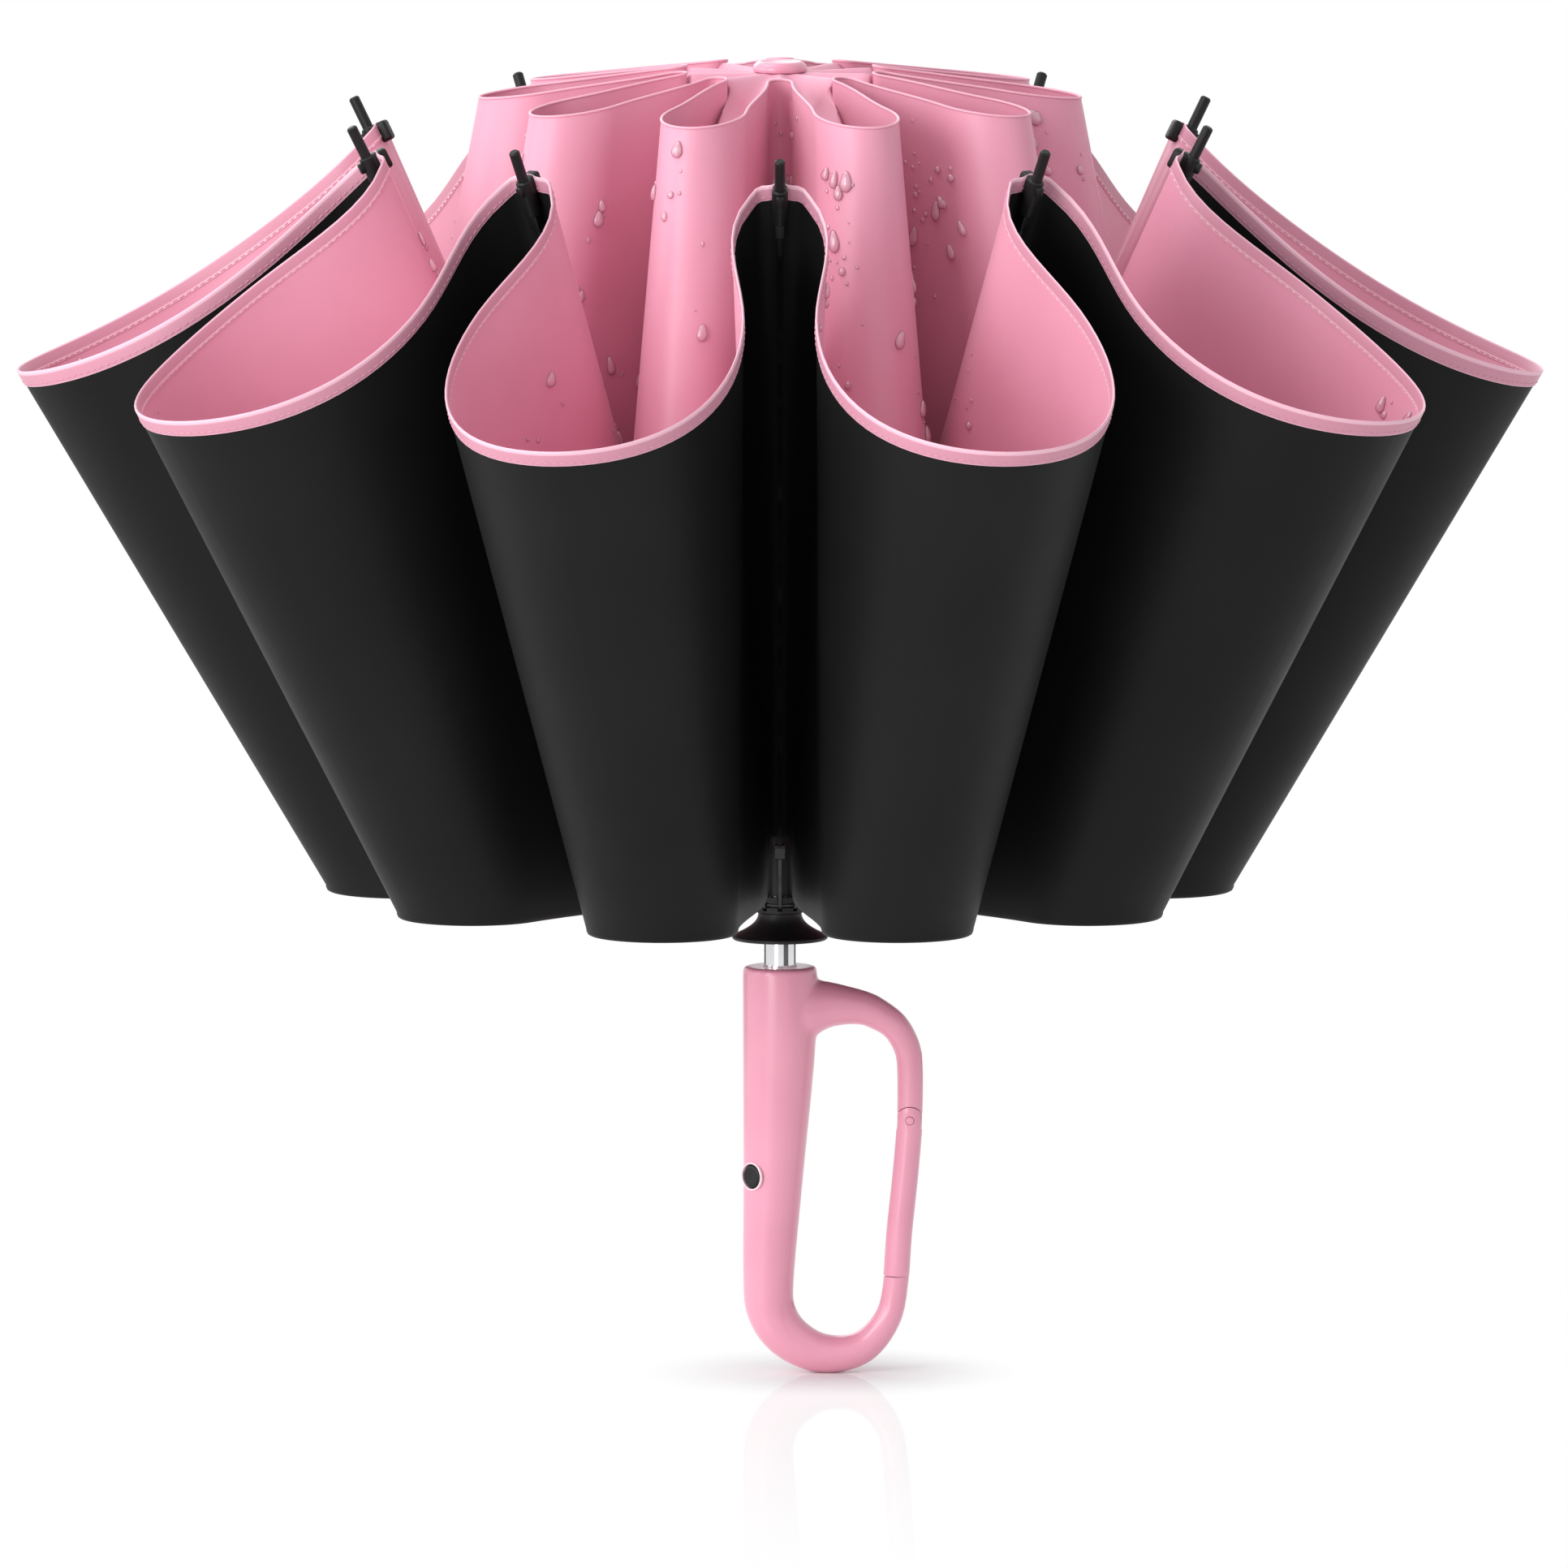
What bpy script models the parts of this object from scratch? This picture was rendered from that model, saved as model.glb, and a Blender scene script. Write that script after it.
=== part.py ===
"""Inverted umbrella with ten ribs, half folded, above the carabiner loop of its handle.

Metres, +Z up. The shaft lies on Z and the handle stands on the plane z = 0. A rib faces the
front, -Y, and the handle's loop points to +X.
"""

import math

import bmesh
import bpy
from mathutils import Matrix, Vector
from mathutils.geometry import convex_hull_2d

# Counts and angles
RIB_COUNT = 10
RIB_STEP = math.tau / RIB_COUNT
HALF_STEP = RIB_STEP / 2
FRONT = -math.pi / 2
QUARTER = math.pi / 2
HALF_QUARTER = math.pi / 4

# Clearances shared by all pieces
GAP = 0.0003
PIN_CLEARANCE = 0.0003
OPEN_PIVOT_CLEARANCE = 0.0007
OVERRUN = 0.001
WELD = 0.00001

# Handle
HANDLE_HEIGHT = 0.152
GRIP_RADIUS = 0.0138
LOOP_REACH = 0.048
BORE_DEPTH = 0.088
# Centreline and radius of grip and loop, as shares of reach, height and grip radius
HANDLE_PATH_SHARES = (
    (0.0, 1.0, 0.97),
    (0.0, 0.985, 1.0),
    (0.0, 0.9, 1.0),
    (-0.01, 0.76, 0.96),
    (-0.05, 0.49, 0.81),
    (-0.088, 0.23, 0.685),
    (-0.065, 0.15, 0.655),
    (0.05, 0.092, 0.615),
    (0.25, 0.053, 0.555),
    (0.46, 0.046, 0.5),
    (0.66, 0.067, 0.44),
    (0.82, 0.127, 0.375),
    (0.885, 0.2, 0.35),
    (0.92, 0.345, 0.35),
    (0.965, 0.48, 0.35),
    (1.0, 0.62, 0.35),
    (1.0, 0.76, 0.36),
    (0.955, 0.815, 0.375),
    (0.86, 0.857, 0.4),
    (0.7, 0.888, 0.45),
)
# The arch that closes the loop, from just inside the limb's end into the grip
ARCH_PATH_SHARES = (
    (0.76, 0.882, 0.4),
    (0.66, 0.893, 0.455),
    (0.52, 0.9, 0.52),
    (0.36, 0.902, 0.64),
    (0.22, 0.895, 0.78),
    (0.08, 0.885, 0.86),
)
PATH_STEPS = 2
HANDLE_BEVEL_RESOLUTION = 4

# Carabiner gate
GATE_PIVOT_X = LOOP_REACH
GATE_PIVOT_SHARE = 0.621
GATE_FOOT_SHARE = 0.238
GATE_PIVOT_Z = HANDLE_HEIGHT * GATE_PIVOT_SHARE
GATE_FOOT_Z = HANDLE_HEIGHT * GATE_FOOT_SHARE
GATE_TOP_RADIUS = 0.0049
LIMB_RADIUS = 0.0048
GATE_PIN_RADIUS = 0.0015
GATE_PIN_PROUD = 0.0002
TONGUE_HALF = 0.0012
TONGUE_RADIUS = 0.0035
TONGUE_RISE = 0.0085
LEAF_THICKNESS = 0.0005
LEAF_LENGTH = 0.016
GATE_STEPS = 4

# Release button
BUTTON_SHARE = 0.487
BUTTON_Z = HANDLE_HEIGHT * BUTTON_SHARE
BUTTON_TURN = math.radians(46)
BUTTON_RADIUS = 0.00435
BUTTON_PROUD = 0.0005
BUTTON_DEPTH = 0.0032
BUTTON_EDGE = 0.0006
POCKET_DEPTH = 0.006
GRIP_SHIFT_AT_BUTTON = 0.0024
GRIP_RADIUS_AT_BUTTON = 0.0112
BUTTON_SPRING_RADIUS = 0.0024
BUTTON_SPRING_WIRE = 0.0003
BUTTON_SPRING_TURNS = 3

# Shaft
TUBE_RADIUS = 0.006
TUBE_WALL = 0.0007
UPPER_WALL = 0.0006
CROWN_FROM_HANDLE = 0.327
CROWN_TOP = HANDLE_HEIGHT + CROWN_FROM_HANDLE
CROWN_HEIGHT = 0.017
LOWER_TUBE_BELOW_CROWN = 0.007
LOWER_TUBE_TOP = CROWN_TOP - CROWN_HEIGHT - LOWER_TUBE_BELOW_CROWN
SPRING_FROM_HANDLE = 0.048
MAIN_SPRING_TOP = HANDLE_HEIGHT + SPRING_FROM_HANDLE
MAIN_SPRING_WIRE = 0.0005
MAIN_SPRING_TURNS = 9
PLUG_LENGTH = 0.006
ROUND_STEPS = 24
COIL_STEPS = 8
RING_SHARE = 2

# Crown and cap
CROWN_RADIUS = 0.0095
CROWN_PIVOT_RADIUS = 0.008
CROWN_PIVOT_DROP = 0.009
CROWN_PIVOT_Z = CROWN_TOP - CROWN_PIVOT_DROP
WIRE_RADIUS = 0.00045
GROOVE_HALF = 0.0009
CAP_RADIUS = 0.01
CAP_TOP_RADIUS = 0.008
CAP_HEIGHT = 0.0036
CAP_STEM_RADIUS = 0.0035
CAP_STEM_LENGTH = 0.012
CAP_FROM_CROWN = 0.009
CAP_TOP = CROWN_TOP + CAP_FROM_CROWN
COVER_RADIUS = 0.0216
COVER_DROP = 0.03
COVER_THICKNESS = 0.0008
COVER_HOLE = 0.0042
COVER_SHOULDER = 0.004

# Runner
RUNNER_WALL = 0.0007
RUNNER_RADIUS = 0.0096
RUNNER_PIVOT_RADIUS = 0.0086
RUNNER_PIVOT_FROM_HANDLE = 0.023
RUNNER_PIVOT_Z = HANDLE_HEIGHT + RUNNER_PIVOT_FROM_HANDLE
RUNNER_RING_HALF = 0.003
RUNNER_FOOT_DROP = 0.0125
RUNNER_FOOT_Z = RUNNER_PIVOT_Z - RUNNER_FOOT_DROP
BELL_RIM_RADIUS = 0.0177
BELL_RIM_DROP = 0.0134
BELL_RIM_Z = RUNNER_PIVOT_Z - BELL_RIM_DROP
BELL_TOP_DROP = 0.0035
BELL_TOP_Z = RUNNER_PIVOT_Z - BELL_TOP_DROP
BELL_RIM_HEIGHT = 0.0018
BELL_WALL = 0.001

# Ribs and links
RIB_HINGE_RADIUS = 0.0231
HINGE_FROM_RUNNER = 0.0226
RIB_HINGE_Z = RUNNER_PIVOT_Z + HINGE_FROM_RUNNER
RIB_LEAN = math.radians(27.1)
ROD_OFFSET = 0.0035
ROD_RADIUS = 0.001
ROD_LENGTH = 0.3035
CHEEK_HALF = 0.0018
CHEEK_SLOT_HALF = 0.001
CHEEK_RADIUS = 0.0017
LEVER_REACH = 0.0105
LEVER_DROP = 0.0016
RIVET_RADIUS = 0.0008
RIVET_PROUD = 0.0002
INNER_RIB_HALF = 0.0007
INNER_RIB_WIDTH = 0.0026
RIB_EYE_RADIUS = 0.0016
LINK_HALF = 0.0006
LINK_WIDTH = 0.003
LINK_EYE_RADIUS = 0.0015
LINK_TOP_RADIUS = 0.0023
ROOT_LENGTH = 0.003
EYE_STEPS = 6
HOLE_STEPS = 12
CHEEK_STEPS = 8

# Rib tips
SLEEVE_RADIUS = 0.00295
SLEEVE_LENGTH = 0.0148
NIB_RADIUS = 0.002
NIB_LENGTH = 0.0125
TIP_OVERLAP = 0.024
TIP_FROM_HINGE = ROD_LENGTH - TIP_OVERLAP
TIP_EDGE = 0.0006
TIP_STEPS = 8

# Canopy. Each lobe is a round about a point on the lobe's own bearing.
CLOTH_THICKNESS = 0.0008
FOLD_BELOW_HINGE = 0.0176
FOLD_Z = RIB_HINGE_Z - FOLD_BELOW_HINGE
FOLD_FROM_ROOT = 0.007
CLOTH_GAP = 0.0006
FOLD_RADIUS = 0.0022
FOLD_CENTRE = 0.1389
FOLD_LOBE_RADIUS = 0.0276
HEM_FROM_FOLD = 0.1866
HEM_GUIDE_Z = FOLD_Z + HEM_FROM_FOLD
HEM_CENTRE = 0.228
HEM_LOBE_RADIUS = 0.0525
HEM_FALL = 0.69
RIM_BELOW_CAP = 0.0134
RIM_Z = CAP_TOP - RIM_BELOW_CAP
RIM_CENTRE = 0.0951
RIM_LOBE_RADIUS = 0.0159
RIM_VALLEY = 0.0236
RIM_VALLEY_HALF = 0.0012
RIM_RISE = 0.0094
# Rise of the rim at the points of half a lobe, from its crest in to the rib
RIM_RISE_SHARES = (0, 0.1, 0.23, 0.42, 1, 1, 1)
VALLEY_HALF = 0.0045
VALLEY_TURNS = (0, HALF_QUARTER, QUARTER)
ARCH_HALF = 0.0136
ARCH_DEPTH = 0.033
ARCH_TURNS = (math.radians(40), math.radians(75), QUARTER)
ARC_STEPS = 3


def material(name, colour, roughness, metallic=0.0):
    made = bpy.data.materials.new(name)
    made.use_nodes = True
    shader = made.node_tree.nodes["Principled BSDF"]
    shader.inputs["Base Color"].default_value = (*colour, 1.0)
    shader.inputs["Roughness"].default_value = roughness
    shader.inputs["Metallic"].default_value = metallic
    return made


def cleared_collection(name):
    made = bpy.data.collections.new(name)
    bpy.context.scene.collection.children.link(made)
    return made


def rib_bearing(number):
    return FRONT + number * RIB_STEP


def add_object(name, mesh, finish, location=(0, 0, 0), rotation=(0, 0, 0), parent=None):
    made = bpy.data.objects.new(name, mesh)
    if finish and not mesh.materials:
        mesh.materials.append(finish)
    made.location = location
    made.rotation_euler = rotation
    made.parent = parent
    umbrella.objects.link(made)
    return made


def add_pivot(name, location, bearing=0.0, parent=None):
    """An empty on a joint's axis; what moves about it is parented to it."""
    made = bpy.data.objects.new(name, None)
    made.location = location
    made.rotation_euler = (0, 0, bearing)
    made.parent = parent
    umbrella.objects.link(made)
    return made


def finished_mesh(scratch, name):
    """The evaluated mesh of a scratch object, in world space, welded; the object goes."""
    bpy.context.view_layer.update()
    graph = bpy.context.evaluated_depsgraph_get()
    mesh = bpy.data.meshes.new_from_object(scratch.evaluated_get(graph))
    mesh.name = name
    mesh.transform(scratch.matrix_world)
    shape = bmesh.new()
    shape.from_mesh(mesh)
    bmesh.ops.remove_doubles(shape, verts=shape.verts, dist=WELD)
    bmesh.ops.recalc_face_normals(shape, faces=shape.faces)
    shape.to_mesh(mesh)
    shape.free()
    bpy.data.objects.remove(scratch)
    return mesh


def scratch_object(name, data):
    made = bpy.data.objects.new(name, data)
    bpy.context.scene.collection.objects.link(made)
    return made


def turned_mesh(name, profile, steps=ROUND_STEPS, closed=False):
    """A profile of (radius, height) points, top to bottom on its outer side, turned about Z."""
    mesh = bpy.data.meshes.new(name)
    points = [(radius, 0, height) for radius, height in profile]
    edges = [(i, i + 1) for i in range(len(points) - 1)]
    if closed:
        edges.append((len(points) - 1, 0))
    mesh.from_pydata(points, edges, [])
    scratch = scratch_object(name, mesh)
    screw = scratch.modifiers.new("turn", "SCREW")
    screw.steps = steps
    screw.render_steps = steps
    screw.use_merge_vertices = True
    screw.merge_threshold = WELD
    return finished_mesh(scratch, name)


def tube_mesh(name, outer, inner, low, high, steps=ROUND_STEPS):
    profile = [(outer, high), (outer, low), (inner, low), (inner, high)]
    return turned_mesh(name, profile, steps, closed=True)


def plate_mesh(name, outlines, half_thickness, middle=0.0):
    """Outlines in the X-Z plane, holes included, with a thickness along Y."""
    curve = bpy.data.curves.new(name, "CURVE")
    curve.dimensions = "2D"
    curve.fill_mode = "BOTH"
    curve.extrude = half_thickness
    for outline in outlines:
        spline = curve.splines.new("POLY")
        spline.points.add(len(outline) - 1)
        for point, (x, z) in zip(spline.points, outline):
            point.co = (x, z, 0, 1)
        spline.use_cyclic_u = True
    scratch = scratch_object(name, curve)
    scratch.rotation_euler = (QUARTER, 0, 0)
    scratch.location = (0, middle, 0)
    return finished_mesh(scratch, name)


def wire_mesh(name, points, radii, resolution, closed=False):
    """A round wire or tube through the points, with filled ends."""
    curve = bpy.data.curves.new(name, "CURVE")
    curve.dimensions = "3D"
    curve.bevel_depth = max(radii)
    curve.bevel_resolution = resolution
    curve.use_fill_caps = not closed
    curve.twist_mode = "MINIMUM"
    spline = curve.splines.new("POLY")
    spline.points.add(len(points) - 1)
    for point, place, radius in zip(spline.points, points, radii):
        point.co = (*place, 1)
        point.radius = radius / max(radii)
    spline.use_cyclic_u = closed
    return finished_mesh(scratch_object(name, curve), name)


def box_mesh(name, low, high):
    mesh = bpy.data.meshes.new(name)
    shape = bmesh.new()
    bmesh.ops.create_cube(shape, size=1)
    low, high = Vector(low), Vector(high)
    span = high - low
    scale = Matrix.Diagonal((*span, 1))
    bmesh.ops.transform(shape, matrix=Matrix.Translation((low + high) / 2) @ scale, verts=shape.verts)
    shape.to_mesh(mesh)
    shape.free()
    return mesh


def cylinder_mesh(name, radius, start, end, steps=ROUND_STEPS):
    start, end = Vector(start), Vector(end)
    run = end - start
    mesh = bpy.data.meshes.new(name)
    shape = bmesh.new()
    bmesh.ops.create_cone(
        shape,
        cap_ends=True,
        segments=steps,
        radius1=radius,
        radius2=radius,
        depth=run.length,
    )
    turn = run.to_track_quat("Z", "Y").to_matrix().to_4x4()
    bmesh.ops.transform(shape, matrix=Matrix.Translation((start + end) / 2) @ turn, verts=shape.verts)
    shape.to_mesh(mesh)
    shape.free()
    return mesh


def shaped_mesh(name, base, steps):
    """The base mesh after Boolean steps, each (operation, mesh), baked into one mesh."""
    scratch = scratch_object(name, base)
    tools = []
    for number, (operation, tool_mesh) in enumerate(steps):
        tool = bpy.data.objects.new(f"{name}_tool_{number}", tool_mesh)
        cutters.objects.link(tool)
        tools.append(tool)
        boolean = scratch.modifiers.new(f"step_{number}", "BOOLEAN")
        boolean.operation = operation
        boolean.object = tool
    mesh = finished_mesh(scratch, name)
    for tool in tools:
        bpy.data.objects.remove(tool)
    return mesh


def round_points(centre, radius, start, end, steps):
    """Points on an arc in the X-Z plane, from one bearing to another, both included."""
    made = []
    for step in range(steps + 1):
        turn = start + (end - start) * step / steps
        made.append((centre[0] + radius * math.cos(turn), centre[1] + radius * math.sin(turn)))
    return made


def ring_points(centre, radius, steps=EYE_STEPS):
    return round_points(centre, radius, 0, math.tau, steps)[:-1]


def bar_outline(first, second, first_radius, second_radius, steps=EYE_STEPS // 2):
    """A bar with round ends, between two points of the X-Z plane."""
    lean = math.atan2(second[1] - first[1], second[0] - first[0])
    head = round_points(second, second_radius, lean - QUARTER, lean + QUARTER, steps)
    tail = round_points(first, first_radius, lean + QUARTER, lean + 3 * QUARTER, steps)
    return head + tail


def eyed_bar(first, second, radii, half_width, steps=EYE_STEPS):
    """A straight bar with a round eye at each end, wider than its shank if need be."""
    span = Vector((second[0] - first[0], second[1] - first[1]))
    lean = math.atan2(span.y, span.x)
    made = []
    for centre, radius, facing in ((second, radii[1], lean), (first, radii[0], lean + math.pi)):
        open_angle = math.pi - math.asin(min(1.0, half_width / radius))
        made += round_points(centre, radius, facing - open_angle, facing + open_angle, steps)
    return made


def smooth_path(shares, steps):
    """Points and radii of a smooth line through the handle's shares."""
    keys = [
        Vector((x * LOOP_REACH, z * HANDLE_HEIGHT, radius * GRIP_RADIUS)) for x, z, radius in shares
    ]
    made = []
    for i in range(len(keys) - 1):
        before = keys[max(i - 1, 0)]
        after = keys[min(i + 2, len(keys) - 1)]
        for step in range(steps):
            t = step / steps
            start_pull = (keys[i + 1] - before) / 2
            end_pull = (after - keys[i]) / 2
            made.append(
                (2 * t**3 - 3 * t**2 + 1) * keys[i]
                + (t**3 - 2 * t**2 + t) * start_pull
                + (3 * t**2 - 2 * t**3) * keys[i + 1]
                + (t**3 - t**2) * end_pull
            )
    made.append(keys[-1])
    points = [(key.x, 0, key.y) for key in made]
    return points, [key.z for key in made]


# Pieces of the handle


def limb_point(height):
    """The loop's thin limb at a height: its X, from the handle's path."""
    points = smooth_path(HANDLE_PATH_SHARES, PATH_STEPS * 2)[0]
    limb = [point for point in points if point[0] > LOOP_REACH / 2]
    below = max((point for point in limb if point[2] <= height), key=lambda point: point[2])
    above = min((point for point in limb if point[2] > height), key=lambda point: point[2])
    share = (height - below[2]) / (above[2] - below[2])
    return below[0] + (above[0] - below[0]) * share


def button_frame():
    """The button's outward direction and the point where its axis leaves the grip."""
    outward = Vector((-math.sin(BUTTON_TURN), -math.cos(BUTTON_TURN), 0))
    centre = Vector((-GRIP_SHIFT_AT_BUTTON, 0, BUTTON_Z))
    return outward, centre + outward * GRIP_RADIUS_AT_BUTTON


def add_handle():
    points, radii = smooth_path(HANDLE_PATH_SHARES, PATH_STEPS)
    loop = wire_mesh("loop", points, radii, HANDLE_BEVEL_RESOLUTION)
    arch_points, arch_radii = smooth_path(ARCH_PATH_SHARES, PATH_STEPS)
    arch = wire_mesh("arch", arch_points, arch_radii, HANDLE_BEVEL_RESOLUTION)

    bore_radius = TUBE_RADIUS + GAP
    bore_floor = HANDLE_HEIGHT - BORE_DEPTH
    bore = cylinder_mesh("bore", bore_radius, (0, 0, bore_floor), (0, 0, HANDLE_HEIGHT + OVERRUN))

    outward, surface = button_frame()
    pocket = cylinder_mesh(
        "pocket",
        BUTTON_RADIUS + GAP,
        surface - outward * POCKET_DEPTH,
        surface + outward * (POCKET_DEPTH + OVERRUN),
    )

    pivot = (GATE_PIVOT_X, GATE_PIVOT_Z)
    reach = GATE_TOP_RADIUS * 2
    foot = limb_point(GATE_FOOT_Z)
    window = box_mesh(
        "window",
        (foot - reach, -reach, GATE_FOOT_Z - GAP),
        (GATE_PIVOT_X + reach, reach, GATE_PIVOT_Z),
    )
    socket = cylinder_mesh(
        "socket",
        GATE_TOP_RADIUS + GAP,
        (GATE_PIVOT_X, -reach, GATE_PIVOT_Z),
        (GATE_PIVOT_X, reach, GATE_PIVOT_Z),
    )
    top = (GATE_PIVOT_X, GATE_PIVOT_Z + TONGUE_RISE)
    tongue = plate_mesh("tongue", [bar_outline(pivot, top, TONGUE_RADIUS, TONGUE_RADIUS)], TONGUE_HALF)
    pin_hole = cylinder_mesh(
        "pin_hole",
        GATE_PIN_RADIUS + GAP,
        (GATE_PIVOT_X, -reach, GATE_PIVOT_Z),
        (GATE_PIVOT_X, reach, GATE_PIVOT_Z),
        HOLE_STEPS,
    )
    mesh = shaped_mesh(
        "handle_grip",
        loop,
        [
            ("UNION", arch),
            ("DIFFERENCE", bore),
            ("DIFFERENCE", pocket),
            ("DIFFERENCE", window),
            ("DIFFERENCE", socket),
            ("UNION", tongue),
            ("DIFFERENCE", pin_hole),
        ],
    )
    return add_object("handle_grip", mesh, pink_plastic)


def add_gate():
    top = GATE_PIVOT_Z + GATE_TOP_RADIUS
    rise = (top - GATE_FOOT_Z) / GATE_STEPS
    heights = [GATE_FOOT_Z + rise * step for step in range(GATE_STEPS + 1)]
    points = [(limb_point(height), 0, height) for height in heights]
    points[-2] = (GATE_PIVOT_X, 0, points[-2][2])
    points[-1] = (GATE_PIVOT_X, 0, top + OVERRUN)
    blank = wire_mesh("gate", points, [LIMB_RADIUS] * len(points), HANDLE_BEVEL_RESOLUTION)

    reach = GATE_TOP_RADIUS * 2
    pivot = (GATE_PIVOT_X, GATE_PIVOT_Z)
    crest = round_points(pivot, GATE_TOP_RADIUS, 0, math.pi, HOLE_STEPS)
    shoulders = [
        (GATE_PIVOT_X - reach, GATE_PIVOT_Z),
        (GATE_PIVOT_X - reach, GATE_PIVOT_Z + reach),
        (GATE_PIVOT_X + reach, GATE_PIVOT_Z + reach),
        (GATE_PIVOT_X + reach, GATE_PIVOT_Z),
    ]
    rounding = plate_mesh("rounding", [crest + shoulders], reach)
    slot_floor = GATE_PIVOT_Z - TONGUE_RADIUS - GAP
    slot = box_mesh(
        "slot",
        (GATE_PIVOT_X - reach, -TONGUE_HALF - GAP, slot_floor),
        (GATE_PIVOT_X + reach, TONGUE_HALF + GAP, GATE_PIVOT_Z + reach),
    )
    leaf_foot = slot_floor - LEAF_LENGTH
    leaf_x = limb_point(slot_floor - LEAF_LENGTH / 2)
    leaf_half = LEAF_THICKNESS / 2
    pocket = box_mesh(
        "leaf_pocket",
        (leaf_x - leaf_half - GAP, -TONGUE_HALF - GAP, leaf_foot - GAP),
        (leaf_x + leaf_half + GAP, TONGUE_HALF + GAP, slot_floor + OVERRUN),
    )
    pin_hole = cylinder_mesh(
        "gate_hole",
        GATE_PIN_RADIUS + GAP,
        (GATE_PIVOT_X, -reach, GATE_PIVOT_Z),
        (GATE_PIVOT_X, reach, GATE_PIVOT_Z),
        HOLE_STEPS,
    )
    mesh = shaped_mesh(
        "carabiner_gate",
        blank,
        [
            ("DIFFERENCE", rounding),
            ("DIFFERENCE", slot),
            ("DIFFERENCE", pocket),
            ("DIFFERENCE", pin_hole),
        ],
    )
    hinge = add_pivot("gate_hinge", (GATE_PIVOT_X, 0, GATE_PIVOT_Z))
    back = Matrix.Translation((-GATE_PIVOT_X, 0, -GATE_PIVOT_Z))
    mesh.transform(back)
    add_object("carabiner_gate", mesh, pink_plastic, parent=hinge)

    leaf = box_mesh(
        "leaf",
        (leaf_x - leaf_half, -TONGUE_HALF, leaf_foot),
        (leaf_x + leaf_half, TONGUE_HALF, slot_floor - GAP),
    )
    leaf.transform(back)
    add_object("gate_leaf_spring", leaf, spring_steel, parent=hinge)

    pin_reach = LIMB_RADIUS + GATE_PIN_PROUD
    pin = cylinder_mesh(
        "gate_pin",
        GATE_PIN_RADIUS,
        (GATE_PIVOT_X, -pin_reach, GATE_PIVOT_Z),
        (GATE_PIVOT_X, pin_reach, GATE_PIVOT_Z),
        HOLE_STEPS,
    )
    add_object("gate_pin", pin, pink_plastic)


def add_button():
    outward, surface = button_frame()
    turn = outward.to_track_quat("Z", "Y").to_euler()
    profile = [
        (0, BUTTON_PROUD),
        (BUTTON_RADIUS - BUTTON_EDGE, BUTTON_PROUD),
        (BUTTON_RADIUS, BUTTON_PROUD - BUTTON_EDGE),
        (BUTTON_RADIUS, -BUTTON_DEPTH),
        (0, -BUTTON_DEPTH),
    ]
    add_object("release_button", turned_mesh("button", profile), dark_plastic, surface, turn)

    low = -POCKET_DEPTH + GAP + BUTTON_SPRING_WIRE
    high = -BUTTON_DEPTH - GAP - BUTTON_SPRING_WIRE
    spring = coil_mesh(
        "button_spring", BUTTON_SPRING_RADIUS, BUTTON_SPRING_WIRE, low, high, BUTTON_SPRING_TURNS
    )
    add_object("button_spring", spring, spring_steel, surface, turn)


def coil_mesh(name, radius, wire, low, high, turns):
    """A coil about Z between two heights, measured at the wire's middle."""
    steps = turns * COIL_STEPS
    points = []
    for step in range(steps + 1):
        turn = step / COIL_STEPS * math.tau
        height = low + (high - low) * step / steps
        points.append((radius * math.cos(turn), radius * math.sin(turn), height))
    return wire_mesh(name, points, [wire] * len(points), 1)


# Pieces of the shaft


def upper_radius():
    return TUBE_RADIUS - TUBE_WALL - GAP


def add_shaft():
    bore_floor = HANDLE_HEIGHT - BORE_DEPTH
    foot = bore_floor + GAP
    lower = tube_mesh("lower_tube", TUBE_RADIUS, TUBE_RADIUS - TUBE_WALL, foot, LOWER_TUBE_TOP)
    add_object("lower_tube", lower, chrome)
    inner = upper_radius() - UPPER_WALL
    upper = tube_mesh("upper_tube", upper_radius(), inner, foot + OVERRUN, CROWN_TOP)
    add_object("upper_tube", upper, chrome)

    coil_radius = inner - GAP - MAIN_SPRING_WIRE
    low = foot + MAIN_SPRING_WIRE
    high = MAIN_SPRING_TOP - MAIN_SPRING_WIRE
    spring = coil_mesh("main_spring", coil_radius, MAIN_SPRING_WIRE, low, high, MAIN_SPRING_TURNS)
    add_object("main_spring", spring, spring_steel)
    plug_low = (0, 0, MAIN_SPRING_TOP + GAP)
    plug_high = (0, 0, MAIN_SPRING_TOP + GAP + PLUG_LENGTH)
    plug = cylinder_mesh("spring_plug", inner - GAP, plug_low, plug_high)
    add_object("spring_plug", plug, dark_plastic)


def slot_cutters(reach_in, reach_out, half, low, high):
    """One thin box per rib, joined into a single cutter."""
    mesh = bpy.data.meshes.new("slots")
    shape = bmesh.new()
    for number in range(RIB_COUNT):
        made = bmesh.ops.create_cube(shape, size=1)["verts"]
        span = Matrix.Diagonal((reach_out - reach_in, half * 2, high - low, 1))
        middle = Matrix.Translation(((reach_in + reach_out) / 2, 0, (low + high) / 2))
        turn = Matrix.Rotation(rib_bearing(number), 4, "Z")
        bmesh.ops.transform(shape, matrix=turn @ middle @ span, verts=made)
    shape.to_mesh(mesh)
    shape.free()
    return mesh


def grooved_profile(outer, inner, low, high, groove_z, groove_radius):
    return [
        (outer, high),
        (outer, groove_z + GROOVE_HALF),
        (groove_radius, groove_z + GROOVE_HALF),
        (groove_radius, groove_z - GROOVE_HALF),
        (outer, groove_z - GROOVE_HALF),
        (outer, low),
        (inner, low),
        (inner, high),
    ]


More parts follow.
